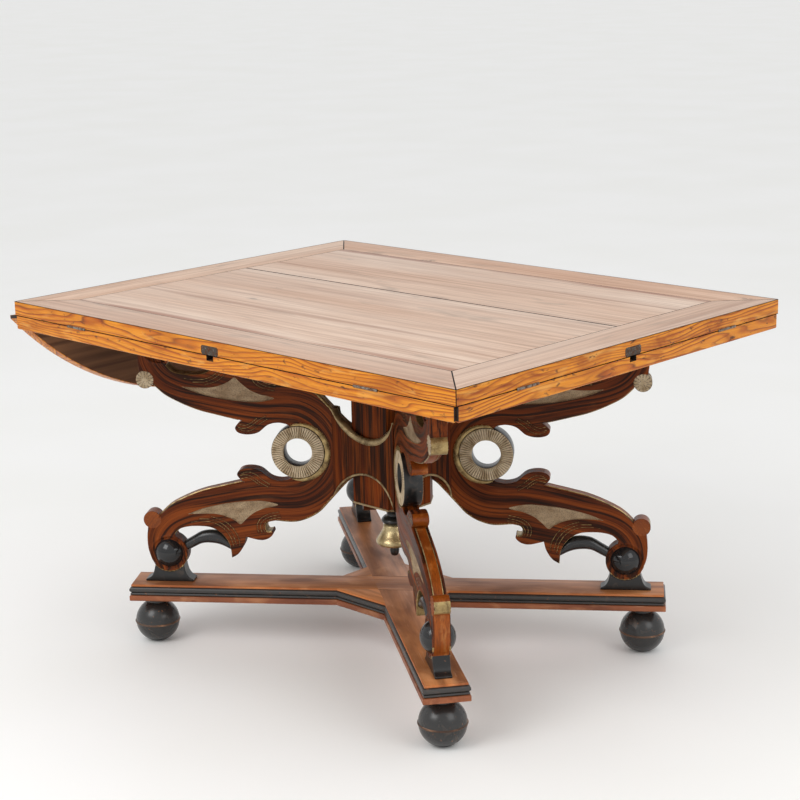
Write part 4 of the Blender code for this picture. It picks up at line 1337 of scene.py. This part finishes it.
# ==== column
@dataclass
class Column:
    """The chamfered column, the hollow-fronted hub between its legs, its gilt rolls and the pendant."""

    half_x: float = 0.081
    half_y: float = 0.07
    corner_x: float = 0.051
    corner_y: float = 0.03
    bottom: float = 0.33
    cove_reach: float = 0.126
    cove_lip: float = 0.002
    cove_rise: float = 0.061
    cove_waist: float = 0.0355
    leg_thickness: float = 0.034
    roll_radius: float = 0.0088
    roll_width: float = 0.0105  # half the roll's width where the ledge is deep
    bead_radius: float = 0.0026
    pendant_bottom: float = 0.205

    def shaft(self) -> Shape:
        """The chamfered shaft: its plan carried straight up, its foot arris softened.

        Returns:
            The shaft, its foot's arris gilt.
        """
        quarter = np.array([(self.half_x, self.corner_y), (self.corner_x, self.half_y)])
        plan = np.vstack([quarter, quarter[::-1] * [-1, 1], quarter * [-1, -1], quarter[::-1] * [1, -1]])
        top = UNDERSIDE - SEAM
        profile = np.array([(-0.0015, self.bottom), (0.0009, self.bottom + 0.0012), (0.0011, self.bottom + 0.0045),
                            (0.0, self.bottom + 0.0052), (0.0, self.bottom + 0.2), (0.0, top)])
        shape = moulded_block(plan, [1] * 8, profile)
        shape.finishes = np.where(shape.finishes < 3, 1, 0)
        shape.finishes[-1] = 0
        return shape

    def curve(self, half_angle: float, hollow: float) -> tuple[Array, Array, Array, Array]:
        """The hub's front between two legs: a circular hollow in plan, and a circular sweep in height.

        At s across, the front is at front - hollow + R - sqrt(R^2 - s^2), and its top edge is at
        waist + S - sqrt(S^2 - s^2) above the leg's middle, where R and S are the circles' radii.

        Args:
            half_angle: Half the angle between the legs.
            hollow: How deep the hollow is.

        Returns:
            Positions across, the front's distance out, half the height, and the inner limit.
        """
        side = self.leg_thickness / 2 + SEAM
        cos_a, sin_a = math.cos(half_angle), math.sin(half_angle)
        span = self.cove_reach * sin_a - side * cos_a
        front = self.cove_reach * cos_a + side * sin_a + self.cove_lip
        radius = (span ** 2 + hollow ** 2) / (2 * hollow)
        rise = min(self.cove_rise, span * 0.98)
        sweep = (span ** 2 + rise ** 2) / (2 * rise)
        s = span * np.sin(np.linspace(-math.pi / 2, math.pi / 2, 49))
        out = front - hollow + radius - np.sqrt(radius ** 2 - s ** 2)
        height = self.cove_waist + sweep - np.sqrt(np.clip(sweep ** 2 - s ** 2, 0, None))
        inner = ((np.abs(s) + side * cos_a) / sin_a) * cos_a + side * sin_a
        return s, out, height, inner

    def face_at(self, s: Array, along_x: bool) -> Array:
        """The shaft's own surface at s across one of its main faces, chamfers included.

        Args:
            s: Positions across.
            along_x: Whether the face looks along X.

        Returns:
            How far out the surface is.
        """
        main, flat, far, limit = ((self.half_x, self.corner_y, self.corner_x, self.half_y) if along_x
                                  else (self.half_y, self.corner_x, self.corner_y, self.half_x))
        return np.interp(np.abs(s), [0, flat, limit], [main, main, far])

    def bead(self, s: Array, out: Array, height: Array, wide: Array, radius: float, ends: float) -> Shape:
        """A round bar that follows the hub's edge, tapering to its ends.

        Args:
            s: Positions across the front.
            out: How far out it runs.
            height: The height of its middle.
            wide: Half its width.
            radius: Half its height.
            ends: The share of its half length that tapers.

        Returns:
            The bar.
        """
        path = stack([out, s, height])
        run = np.gradient(path[:, 1:], axis=0)
        run /= norm(run, axis=1)[:, None]
        taper = np.clip((1 - np.abs(s) / np.abs(s).max()) / ends, 0.35, 1)[:, None]
        level = stack([wide, np.zeros(len(s)), np.zeros(len(s))])
        rise = stack([np.zeros(len(s)), -run[:, 1], run[:, 0]]) * radius * taper
        return tube(path, level, rise, 20)

    def hub(self, label: str, turn: float, half_angle: float, hollow: float, core: float,
            along_x: bool) -> None:
        """One quarter of the hub, with its roll above and its bead below.

        Args:
            label: The side that it faces.
            turn: Its direction about the column.
            half_angle: Half the angle between the legs.
            hollow: How deep the hollow is.
            core: How far out its back is, at least.
            along_x: Whether it faces along X.
        """
        s, out, height, inner = self.curve(half_angle, hollow)
        inner = np.maximum(inner, core)
        rings = np.stack([stack([x, s, z]) for x, z in (
            (inner, LEG_MID - height), (out, LEG_MID - height), (out, LEG_MID + height),
            (inner, LEG_MID + height))], 1)
        place = (turn, CENTRE)
        # The hub's hollow: broad dark clouds of painted shade at a share of 0.55.
        paint = PaintedRosewood("painted_rosewood_hub", Grain.Z, red="#6b2c0b", light="#934814", streak_mm=13.0,
                                shade=0.55, gloss=0.07)
        piece("%s_hub_hollow" % label, loft(rings).turned(*place), "root", (paint,), [], 40)
        wall = self.face_at(s, along_x)
        gilt = (AgedGilt("rubbed_gilt", gold="#a08a64", dull="#4d3a22", metal=0.6, rough=0.28),)
        wide = np.clip((out - wall) / 2 + 0.0015, 0.004, self.roll_width)
        roll = self.bead(s, out + 0.0015 - wide, LEG_MID + height, wide, self.roll_radius, 0.25)
        piece("%s_hub_roll" % label, roll.turned(*place), "root", gilt, [], 60)
        thin = np.full(len(s), self.bead_radius)
        lower = self.bead(s, out - 0.0006, LEG_MID - height, thin, self.bead_radius, 0.1)
        piece("%s_hub_bead" % label, lower.turned(*place), "root", gilt, [], 60)

    def pendant(self) -> Shape:
        """The drop below the column: a black neck, a gilt bell and a black tip, all turned.

        Returns:
            The drop, its bell's faces numbered 1.
        """
        neck = flowing([(0.03, self.bottom - SEAM), (0.026, 0.32), (0.017, 0.306), (0.016, 0.298),
                        (0.0225, 0.2945), (0.0272, 0.288), (0.0245, 0.282), (0.018, 0.279)], 6)[::-1]
        bell = flowing([(0.019, 0.28), (0.0232, 0.2755), (0.025, 0.267), (0.03, 0.257), (0.0372, 0.247),
                        (0.0398, 0.241), (0.0385, 0.2355), (0.033, 0.2325), (0.012, 0.2315)], 6)[::-1]
        tip = flowing([(0.0105, 0.233), (0.0104, 0.22), (0.009, 0.211), (0.0062, 0.2065),
                       (0.002, self.pendant_bottom)], 6)[::-1]
        shape = turning(neck, 64)
        for part, finish in ((bell, 1), (tip, 0)):
            other = turning(part, 64)
            other.finishes = np.full(len(other.faces), finish)
            shape = shape.joined(other)
        return shape

    def build(self) -> None:
        """Make the shaft, the hub's four hollows with their gilding, and the pendant."""
        # The shaft: broad dark clouds of painted shade at a share of 0.4.
        piece("painted_column", self.shaft().turned(0, CENTRE), "root",
              (PaintedRosewood("painted_rosewood_shaft", Grain.Z, red="#74300b", light="#9a4a14", streak_mm=12.0,
                               shade=0.4, gloss=0.07), AgedGilt()),
              ["column"], 30)
        across = math.pi / 2 - ARM_ANGLE
        self.hub("right", 0.0, ARM_ANGLE, 0.014, 0.06, True)
        self.hub("back", math.pi / 2, across, 0.012, 0.05, False)
        self.hub("left", math.pi, ARM_ANGLE, 0.014, 0.06, True)
        self.hub("front", -math.pi / 2, across, 0.012, 0.05, False)
        piece("turned_pendant", self.pendant().turned(0, CENTRE), "root",
              (Ebonised(wear=0.2), AgedGilt("polished_gilt", gold="#b9a67c", dull="#7c6844", metal=0.75,
                                            rough=0.26)), ["pendant"], 35)


# ==== base
@dataclass
class CrossBase:
    """The crossed stretchers with their reeded edges, the corner gussets and the ball feet."""

    half_length: float = 0.581
    half_width: float = 0.043
    gusset_reach: float = 0.123
    foot_radius: float = 0.048
    foot_reach: float = 0.536
    neck_radius: float = 0.02
    flat_radius: float = 0.014

    def moulding(self) -> Array:
        """The edge from the bottom up: a fillet, two half-round reeds and the top slab.

        Returns:
            Rows of (out, height).
        """
        reed = np.radians(np.linspace(-80, 80, 9))
        reeds = [stack([-0.0018 + out * np.cos(reed), middle + tall * np.sin(reed)])
                 for middle, tall, out in ((0.1197, 0.003, 0.004), (0.1293, 0.0062, 0.0056))]
        fillet = [(0.0026, BEAM_BOTTOM), (0.004, 0.1054), (0.004, 0.1146), (0.0032, 0.1158), (-0.0012, 0.1164)]
        slab = [(-0.0022, 0.1358), (-0.0002, 0.1366), (0.0, 0.1394), (-0.0005, 0.1405), (-0.0016, BEAM_TOP)]
        return np.vstack([fillet] + reeds + [slab])

    def finish_rows(self, shape: Shape) -> Shape:
        """Number the side faces by their row: 0 brown, 1 red-brown fillet, 2 black reeds, 3 worn arris.

        Args:
            shape: A block made with the moulding.

        Returns:
            The same block.
        """
        rows = shape.finishes
        last = len(self.moulding()) - 1
        numbers = np.select([rows < 4, rows < last - 4, rows < last], [1, 2, 3], 0)
        numbers[-2:] = (1, 0)
        shape.finishes = numbers
        return shape

    def cut_end(self, side: float) -> float:
        """How far along a beam its side at this offset meets the other beam's side."""
        return (self.half_width + side * math.cos(2 * ARM_ANGLE)) / math.sin(2 * ARM_ANGLE)

    def beam(self, through: bool) -> Shape:
        """A stretcher along X: two moulded arms and its half of the lap between them.

        Args:
            through: Whether it is the upper one of the lap.

        Returns:
            The stretcher.
        """
        w, length = self.half_width, self.half_length
        seam = 0.0 if through else SEAM
        flip = -1 if through else 1
        near, far = (self.cut_end(-w * flip) + seam, self.cut_end(w * flip) + seam)
        plan = np.array([(near, -w), (length, -w), (length, w), (far, w)])
        arm = self.finish_rows(moulded_block(plan, (1, 1, 1, 0), self.moulding()))
        shape = arm.joined(arm.turned(math.pi))
        middle = np.array([(near, -w), (far, w), (-near, w), (-far, -w)])
        half = (BEAM_TOP + BEAM_BOTTOM) / 2
        heights = (half, BEAM_TOP) if through else (BEAM_BOTTOM, half - SEAM)
        lap = moulded_block(middle, (0, 0, 0, 0), np.array([(0, heights[0]), (0, heights[1])]))
        lap.finishes = np.full(len(lap.faces), 0 if through else 1)
        return shape.joined(lap)

    def seams(self) -> Shape:
        """The dark joint lines at the crossing, dirt and painted shade, along the through stretcher's two sides.

        Returns:
            Both lines.
        """
        w, thin, shape = self.half_width, 0.0008, None
        near, far = self.cut_end(-w), self.cut_end(w)
        for sign in (-1, 1):
            a, b = np.array((near, -w)) * sign, np.array((far, w)) * sign
            run = (b - a) / norm(b - a)
            side = np.array([run[1], -run[0]]) * thin
            plan = np.array([a + side, b + side, b - side, a - side])
            line = moulded_block(plan, (0, 0, 0, 0), np.array([(0, BEAM_TOP - 0.001), (0, BEAM_TOP + 0.00012)]))
            shape = line if shape is None else shape.joined(line)
        shape.finishes = None
        return shape

    def gusset(self, half_angle: float) -> Shape:
        """A corner block between two beams, its front moulded and its sides drawn back to clear theirs.

        Args:
            half_angle: Half the angle between the beams.

        Returns:
            The block, pointing along X.
        """
        w, sin_a, cos_a = self.half_width + SEAM, math.sin(half_angle), math.cos(half_angle)
        tip = w / sin_a
        front = self.gusset_reach * cos_a + self.half_width * sin_a
        wide = (front - tip) * math.tan(half_angle)
        plan = np.array([(tip, 0), (front, -wide), (front, wide)])
        return self.finish_rows(moulded_block(plan, (-1, 1, -1), self.moulding()))

    def foot(self) -> Shape:
        """A ball on a small worn flat, with a half-round bead at its middle and a neck above.

        Returns:
            The foot, standing at the origin.
        """
        r = self.foot_radius
        low, high = -math.acos(self.flat_radius / r), math.acos(self.neck_radius / r)
        drop = r * (1 + math.sin(low))
        bead = 0.045
        below, above = np.linspace(low, -bead, 22), np.linspace(bead, high, 20)
        ball = [stack([r * np.cos(a), r * (1 + np.sin(a))]) for a in (below, above)]
        half = np.radians(np.linspace(-80, 80, 7))
        ring = stack([r - 0.0004 + 0.0022 * np.cos(half), r + 0.0021 * np.sin(half)])
        profile = np.vstack([ball[0], ring, ball[1]]) - [0, drop]
        profile = np.vstack([profile, [(self.neck_radius, BEAM_BOTTOM - SEAM)]])
        shape = turning(profile, 72)
        rows = np.repeat(np.arange(len(profile) - 1), 72)
        numbers = np.select([rows < 7, (rows >= 21) & (rows < 29)], [2, 1], 0)
        shape.finishes = np.concatenate([numbers, [2, 0]])
        return shape

    def build(self) -> None:
        """Make both beams, the four gussets and the four feet."""
        for name, turn, through in (("through_stretcher", ARM_ANGLE, True),
                                    ("lapped_stretcher", -ARM_ANGLE, False)):
            piece("reeded_" + name, self.beam(through).turned(turn, CENTRE), "root",
                  self.finishes(turn), [name], 42)
        piece("crossing_seams", self.seams().turned(-ARM_ANGLE, CENTRE), "root",
              (JOINT_DIRT_AND_PAINTED_SHADE,))
        across = math.pi / 2 - ARM_ANGLE
        for name, turn, half_angle, grain in (("right", 0, ARM_ANGLE, 90), ("back", 90, across, 0),
                                              ("left", 180, ARM_ANGLE, 90), ("front", 270, across, 0)):
            piece("reeded_%s_gusset" % name, self.gusset(half_angle).turned(math.radians(turn), CENTRE), "root",
                  self.finishes(math.radians(grain)), [name + "_gusset"], 42)
        for name, angle in LEGS.items():
            spot = (AXIS_X + self.foot_reach * math.cos(angle), self.foot_reach * math.sin(angle), 0.0)
            # The bead ring's worn brown stands also for its highlight line: a painted highlight.
            piece("%s_turned_foot" % name, self.foot().turned(angle, spot), "root",
                  (Ebonised("scuffed_ebonised_wood", wear=0.7, rough=0.27, black="#2b2a29"),
                   WornBrown("rubbed_bead", base="#6b5240", dark="#3a2c23"),
                   Ebonised("rubbed_foot", wear=0.9, rough=0.45)), [name + "_ball_foot"], 60)

    def finishes(self, turn: float) -> tuple[Finish, ...]:
        """Brown top, red-brown fillet, black reeds and orange worn arris.

        Args:
            turn: The grain's turn about the vertical.

        Returns:
            The four finishes, in the order of finish_rows.
        """
        return (WornBrown(turn=turn), WornBrown("red_brown_fillet", turn=turn, base="#9c5a38", dark="#74402a"),
                Ebonised("black_reeds", wear=0.9, rough=0.34, black="#363331"),
                WornBrown("worn_arris", turn=turn, base="#c4743c", dark="#9b5428"))


# ==== top
@dataclass
class Edge:
    """One edge of the top: a mitred rail, and a leaf hinged under it on a pin at the joint line.

    Its own frame has its origin on the pin at the middle of the edge, X along the edge and Y into
    the table.
    """

    name: str
    turn: float  # of the whole edge about the vertical
    half_length: float
    inset: float  # from the table's axis to the edge
    leaf_depth: float
    hinge_offset: float
    grain: Grain
    hang: float = 0.0  # how far the leaf has turned from folded
    rail_width: float = 0.0985
    tip_inset: float = 0.006
    mitre_gap: float = 0.0011  # how far each mitre has opened at the outer corner
    round_bottom: float = 0.003
    round_top: float = 0.0016
    pocket: Vec3 = (0.02, 0.014, 0.011)
    catch: Vec3 = (0.05, 0.0025, 0.019)
    hinge_length: float = 0.06
    knuckle: float = 0.02
    knuckle_radius: float = 0.0027
    plate_depth: float = 0.026
    plate_thickness: float = 0.0018
    plate_clear: float = 0.0037  # from the pin to the plate
    clipped: float = 0.0035  # the catch's corners
    nail: tuple[float, float] = (0.0026, 0.0003)  # radius and how far its dome stands up

    def placed(self, shape: Shape, hang: float = 0.0) -> Shape:
        """The shape put in place: swung by -hang about the pin, moved to the edge, turned with it.

        Args:
            shape: A shape in the edge's own frame.
            hang: How far it has turned from folded.

        Returns:
            The shape in the table's frame.
        """
        c, s = math.cos(-hang), math.sin(-hang)
        swing = np.array([[1, 0, 0], [0, c, s], [0, -s, c]])
        points = shape.points @ swing + [0, -self.inset - SEAM, UNDERSIDE]
        return Shape(points, shape.faces, shape.finishes).turned(self.turn, CENTRE)

    def rail(self) -> Shape:
        """The rail: a trapezium in plan with rounded arrises, finer where it meets its neighbours.

        Returns:
            The rail in the edge's own frame.
        """
        outer, start, w = self.half_length - SEAM / 2, SEAM, self.rail_width
        open_by = self.mitre_gap
        plan = np.array([(-outer + open_by, start), (outer - open_by, start),
                         (outer - open_by * 1.4, start + open_by * 1.4), (outer - w, start + w),
                         (w - outer, start + w), (-outer + open_by * 1.4, start + open_by * 1.4)])
        profile = rounded_profile(0.0, TOP_THICKNESS, self.round_top, 0.0018)
        shape = moulded_block(plan, (1, 0, 0.7, 0.4, 0.7, 0), profile)
        rows = shape.finishes[:-2].reshape(len(profile) - 1, len(plan))
        # the joint's dirt and painted shade on every side face but the outer face above its lowest two rows
        rows[:] = 3
        rows[2:, 0] = 1
        shape.finishes[-2:] = (2, 0)
        return shape

    def leaf(self) -> Shape:
        """The leaf: a circle's segment in plan, in two layers so that the catch's pocket is open above.

        With half chord h and depth d the curve's radius is (h^2 + d^2) / 2d.

        Returns:
            The leaf, folded, in the edge's own frame.
        """
        h, d = self.half_length, self.leaf_depth
        radius = (h ** 2 + d ** 2) / (2 * d)
        reach, start = h - self.tip_inset, SEAM
        angle = np.linspace(math.asin(reach / radius), -math.asin(reach / radius), 41)
        curve = stack([radius * np.sin(angle), radius * np.cos(angle) - (radius - d) + start])
        plain = np.vstack([[(-reach, start), (reach, start)], curve])
        wide, deep, high = self.pocket
        notch = [(-reach, start), (-wide / 2, start), (-wide / 2, deep), (wide / 2, deep), (wide / 2, start),
                 (reach, start)]
        notched = np.vstack([notch, curve])
        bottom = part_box("front_leaf")[0].z - UNDERSIDE
        edge = rounded_profile(bottom, -SEAM, self.round_bottom, 0.0012)
        middle = np.array([(0.0, -high)])
        layers = []
        for plan, profile in ((plain, np.vstack([edge[edge[:, 1] < -high], middle])),
                              (notched, np.vstack([middle, edge[edge[:, 1] > -high]]))):
            signs = np.ones(len(plan))
            upper = len(plan) > len(plain)
            if upper:
                signs[1:4] = 0
            layer = moulded_block(plan, signs, profile)
            layer.finishes = np.ones(len(layer.faces), int)
            layer.finishes[-2:] = (0, 2)
            rows = layer.finishes[:-2].reshape(len(profile) - 1, len(plan))
            # the leaf's ends, the pocket's walls and the hinge edge's upper rows get the joint's dirt and painted
            # shade
            rows[0 if upper else -1, [-1, 5 if upper else 1]] = 3
            if upper:
                rows[:, 1:4] = 3
                rows[2:, [0, 4]] = 3
            layers.append(layer)
        return layers[0].joined(layers[1])

    def hinge(self, moving: bool) -> Shape:
        """Half a hinge on the origin: its let-in plate and its turned knuckles.

        Args:
            moving: Whether it is the leaf's half.

        Returns:
            That half.
        """
        half, k, clear = self.hinge_length / 2, self.hinge_length / 2 - self.knuckle, self.plate_clear
        plan = np.array([(-half, clear), (half, clear), (half, self.plate_depth), (-half, self.plate_depth)])
        low, high = (-SEAM - self.plate_thickness, -SEAM + 0.0001) if moving else (-0.0001, self.plate_thickness)
        shape = moulded_block(plan, (0, 0, 0, 0), np.array([(0, low), (0, high)]))
        shape.finishes = None
        r = self.knuckle_radius
        for x0, x1 in ([(-k + SEAM, k - SEAM)] if moving else [(-half, -k), (k, half)]):
            part = turning(np.array([(r * 0.8, x0), (r, x0 + 0.0006), (r, x1 - 0.0006), (r * 0.8, x1)]), 20)
            shape = shape.joined(Shape(part.points[:, [2, 0, 1]], part.faces))
        return shape.outward()

    def catch_plate(self) -> Shape:
        """The catch: forged iron with clipped corners, let into the rail and held by two domed nails.

        Returns:
            The catch in the edge's own frame.
        """
        wide, deep, tall = self.catch[0] / 2, self.catch[1], self.catch[2]
        clip = self.clipped
        plan = np.array([(-wide + clip, 0.0004), (wide - clip, 0.0004), (wide, clip), (wide, tall - clip),
                         (wide - clip, tall), (clip - wide, tall), (-wide, tall - clip), (-wide, clip)])
        shape = moulded_block(plan, [1] * 8, np.array([(0, 0), (0, deep * 0.8), (-0.0006, deep)]))
        shape.finishes = None
        dome = np.radians(np.linspace(0, 84, 7))
        nail = turning(stack([self.nail[0] * np.cos(dome), self.nail[1] * np.sin(dome)]), 20)
        for x in (-0.62, 0.62):
            shape = shape.joined(Shape(nail.points + [x * wide, 0.6 * tall, deep - 0.0002], nail.faces))
        points = stack([shape.points[:, 0], SEAM + deep - 0.0003 - shape.points[:, 2], shape.points[:, 1]])
        return Shape(points, shape.faces).outward()

    def build(self) -> None:
        """Make the rail, the leaf, the catch plate and both hinges."""
        worn = 0.85 if self.grain is Grain.Y else 0.5
        top = (BleachedPine(grain=Grain.Y) if self.grain is Grain.Y
               else BleachedPine("bleached_pine_rail", Grain.X, pale="#e0bea4", warm="#c89c80"))
        woods = (top, VarnishedPine("varnished_pine_%s" % self.name, self.grain, worn=worn),
                 OldPine(grain=self.grain), JOINT_DIRT_AND_PAINTED_SHADE)
        leaf_body = self.name + "_leaf_body"
        piece("%s_mitred_rail" % self.name, self.placed(self.rail()), "root", woods,
              [self.name + "_rail"], 40)
        piece("%s_folding_leaf" % self.name, self.placed(self.leaf(), self.hang), leaf_body, woods,
              [self.name + "_leaf"], 40)
        piece("%s_forged_catch" % self.name, self.placed(self.catch_plate()), "root",
              (WornIron(),), [self.name + "_catch_plate"], 35)
        metal = WornIron("bright_worn_iron", bright=0.8, patina="#857c72")
        for side, x in (("a", -self.hinge_offset), ("b", self.hinge_offset)):
            for part, body, moving in (("rail", "root", False), ("leaf", leaf_body, True)):
                half = self.hinge(moving)
                shape = self.placed(Shape(half.points + [x, 0, 0], half.faces), self.hang if moving else 0.0)
                piece("%s_%s_turned_hinge_%s" % (self.name, part, side), shape, body,
                      (metal,), ["%s_%s_hinge_%s" % (self.name, part, side)], 40)


@dataclass
class TableTop:
    """The two field boards in their mitred rails, and the four edges with their leaves."""

    length: float = 1.272
    width: float = 0.998
    long_leaf: float = 0.205
    short_leaf: float = 0.24
    hang_angle: float = math.radians(81.18874576513821)  # the left leaf's weight below its pin

    def field_board(self, name: str) -> Shape:
        """A flat board whose edges and small arrises are dark with dirt and painted shade, as the joint round it
        is.

        Args:
            name: The frame's node.

        Returns:
            The board.
        """
        low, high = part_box(name)
        plan = np.array([(low.x, low.y), (high.x, low.y), (high.x, high.y), (low.x, high.y)])
        shape = moulded_block(plan, (1, 1, 1, 1), rounded_profile(low.z, high.z, 0.0006, 0.0009))
        # every side face and arris gets the joint's dirt and painted shade
        shape.finishes = np.ones(len(shape.faces), int)
        shape.finishes[-2:] = (2, 0)
        return shape

    def build(self) -> None:
        """Make the field boards and the four edges, the left one with its leaf hanging."""
        for name in ("front_field_board", "back_field_board"):
            piece("pine_" + name, self.field_board(name), "root",
                  (BleachedPine("bleached_pine_field", Grain.X, stained=True), JOINT_DIRT_AND_PAINTED_SHADE,
                   OldPine(grain=Grain.X)), [name], 30)
        long_edge = (self.length / 2, self.width / 2, self.long_leaf, 0.42, Grain.X)
        short_edge = (self.width / 2, self.length / 2, self.short_leaf, 0.31, Grain.Y)
        for name, turn, sizes, hang in (("front", 0, long_edge, 0.0), ("right", 90, short_edge, 0.0),
                                        ("back", 180, long_edge, 0.0), ("left", 270, short_edge, self.hang_angle)):
            Edge(name, math.radians(turn), *sizes, hang).build()


# ==== studio
@dataclass
class Studio:
    """A plain pale floor, soft light and the camera."""

    floor_half: float = 60.0
    lens_mm: float = 84.52
    sensor_mm: float = 36.0
    yaw: float = 0.764337
    pitch: float = 0.246413
    roll: float = -0.02199
    camera_at: Vec3 = (2.70186 + AXIS_X, -2.79108, 1.53038)
    clip_end: float = 200.0
    lamps: tuple = (((-0.2, -3.2, 2.8), 50.0), ((3.4, -0.2, 2.4), 24.0))  # place and watts
    lamp_size: float = 1.9
    aim: Vec3 = (0.0, 0.0, 0.5)
    sky: str = "#f6f7f8"
    sky_strength: float = 0.92

    def floor(self) -> None:
        """A large flat sheet just under the feet."""
        mesh = bpy.data.meshes.new("studio_floor")
        h = self.floor_half
        mesh.from_pydata([(-h, -h, 0), (h, -h, 0), (h, h, 0), (-h, h, 0)], [], [(0, 1, 2, 3)])
        floor = shown("studio_floor", mesh)
        mesh.materials.append(StudioFloor().material())

    def light(self, name: str, spot: Vec3, watts: float) -> None:
        """One square soft light, turned to the middle of the table.

        Args:
            name: The light's name.
            spot: Where it is.
            watts: Its power.
        """
        lamp = bpy.data.lights.new(name, "AREA")
        lamp.size, lamp.energy = self.lamp_size, watts
        made = shown(name, lamp)
        made.location = spot
        made.rotation_euler = (Vector(self.aim) - Vector(spot)).to_track_quat("-Z", "Y").to_euler()

    def camera(self) -> None:
        """The camera: turned by yaw, tipped down by pitch, then rolled about its own line of sight."""
        sin_y, cos_y, sin_p, cos_p = (math.sin(self.yaw), math.cos(self.yaw), math.sin(self.pitch),
                                      math.cos(self.pitch))
        ahead = Vector((-sin_y * cos_p, cos_y * cos_p, -sin_p))
        right = Vector((cos_y, sin_y, 0.0))
        up = right.cross(ahead)
        level, upright = (right * math.cos(self.roll) + up * math.sin(self.roll),
                          -right * math.sin(self.roll) + up * math.cos(self.roll))
        lens = bpy.data.cameras.new("camera")
        lens.lens, lens.sensor_width, lens.clip_end = self.lens_mm, self.sensor_mm, self.clip_end
        made = shown("camera", lens)
        turn = Matrix((level, upright, -ahead)).transposed().to_4x4()
        made.matrix_world = Matrix.Translation(Vector(self.camera_at)) @ turn
        bpy.context.scene.camera = made

    def build(self) -> None:
        """Set the floor, the pale surroundings, the lights and the camera."""
        self.floor()
        world = bpy.data.worlds.new("studio")
        bpy.context.scene.world = world
        world.use_nodes = True
        ground = world.node_tree.nodes["Background"]
        ground.inputs["Color"].default_value = linear(self.sky)
        ground.inputs["Strength"].default_value = self.sky_strength
        for name, (spot, watts) in zip(("key", "fill"), self.lamps):
            self.light(name, spot, watts)
        bpy.context.scene.view_settings.view_transform = "Standard"  # a finish's hex colour shows as it is
        self.camera()


def main() -> None:
    """Build the studio, then the table in order."""
    logging.basicConfig(level=logging.INFO, format="%(name)s %(message)s")
    Studio().build()
    CrossBase().build()
    for name, angle in LEGS.items():
        ScrollLeg(name, angle).build()
    Column().build()
    TableTop().build()
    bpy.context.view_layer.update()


if __name__ == "__main__":
    main()
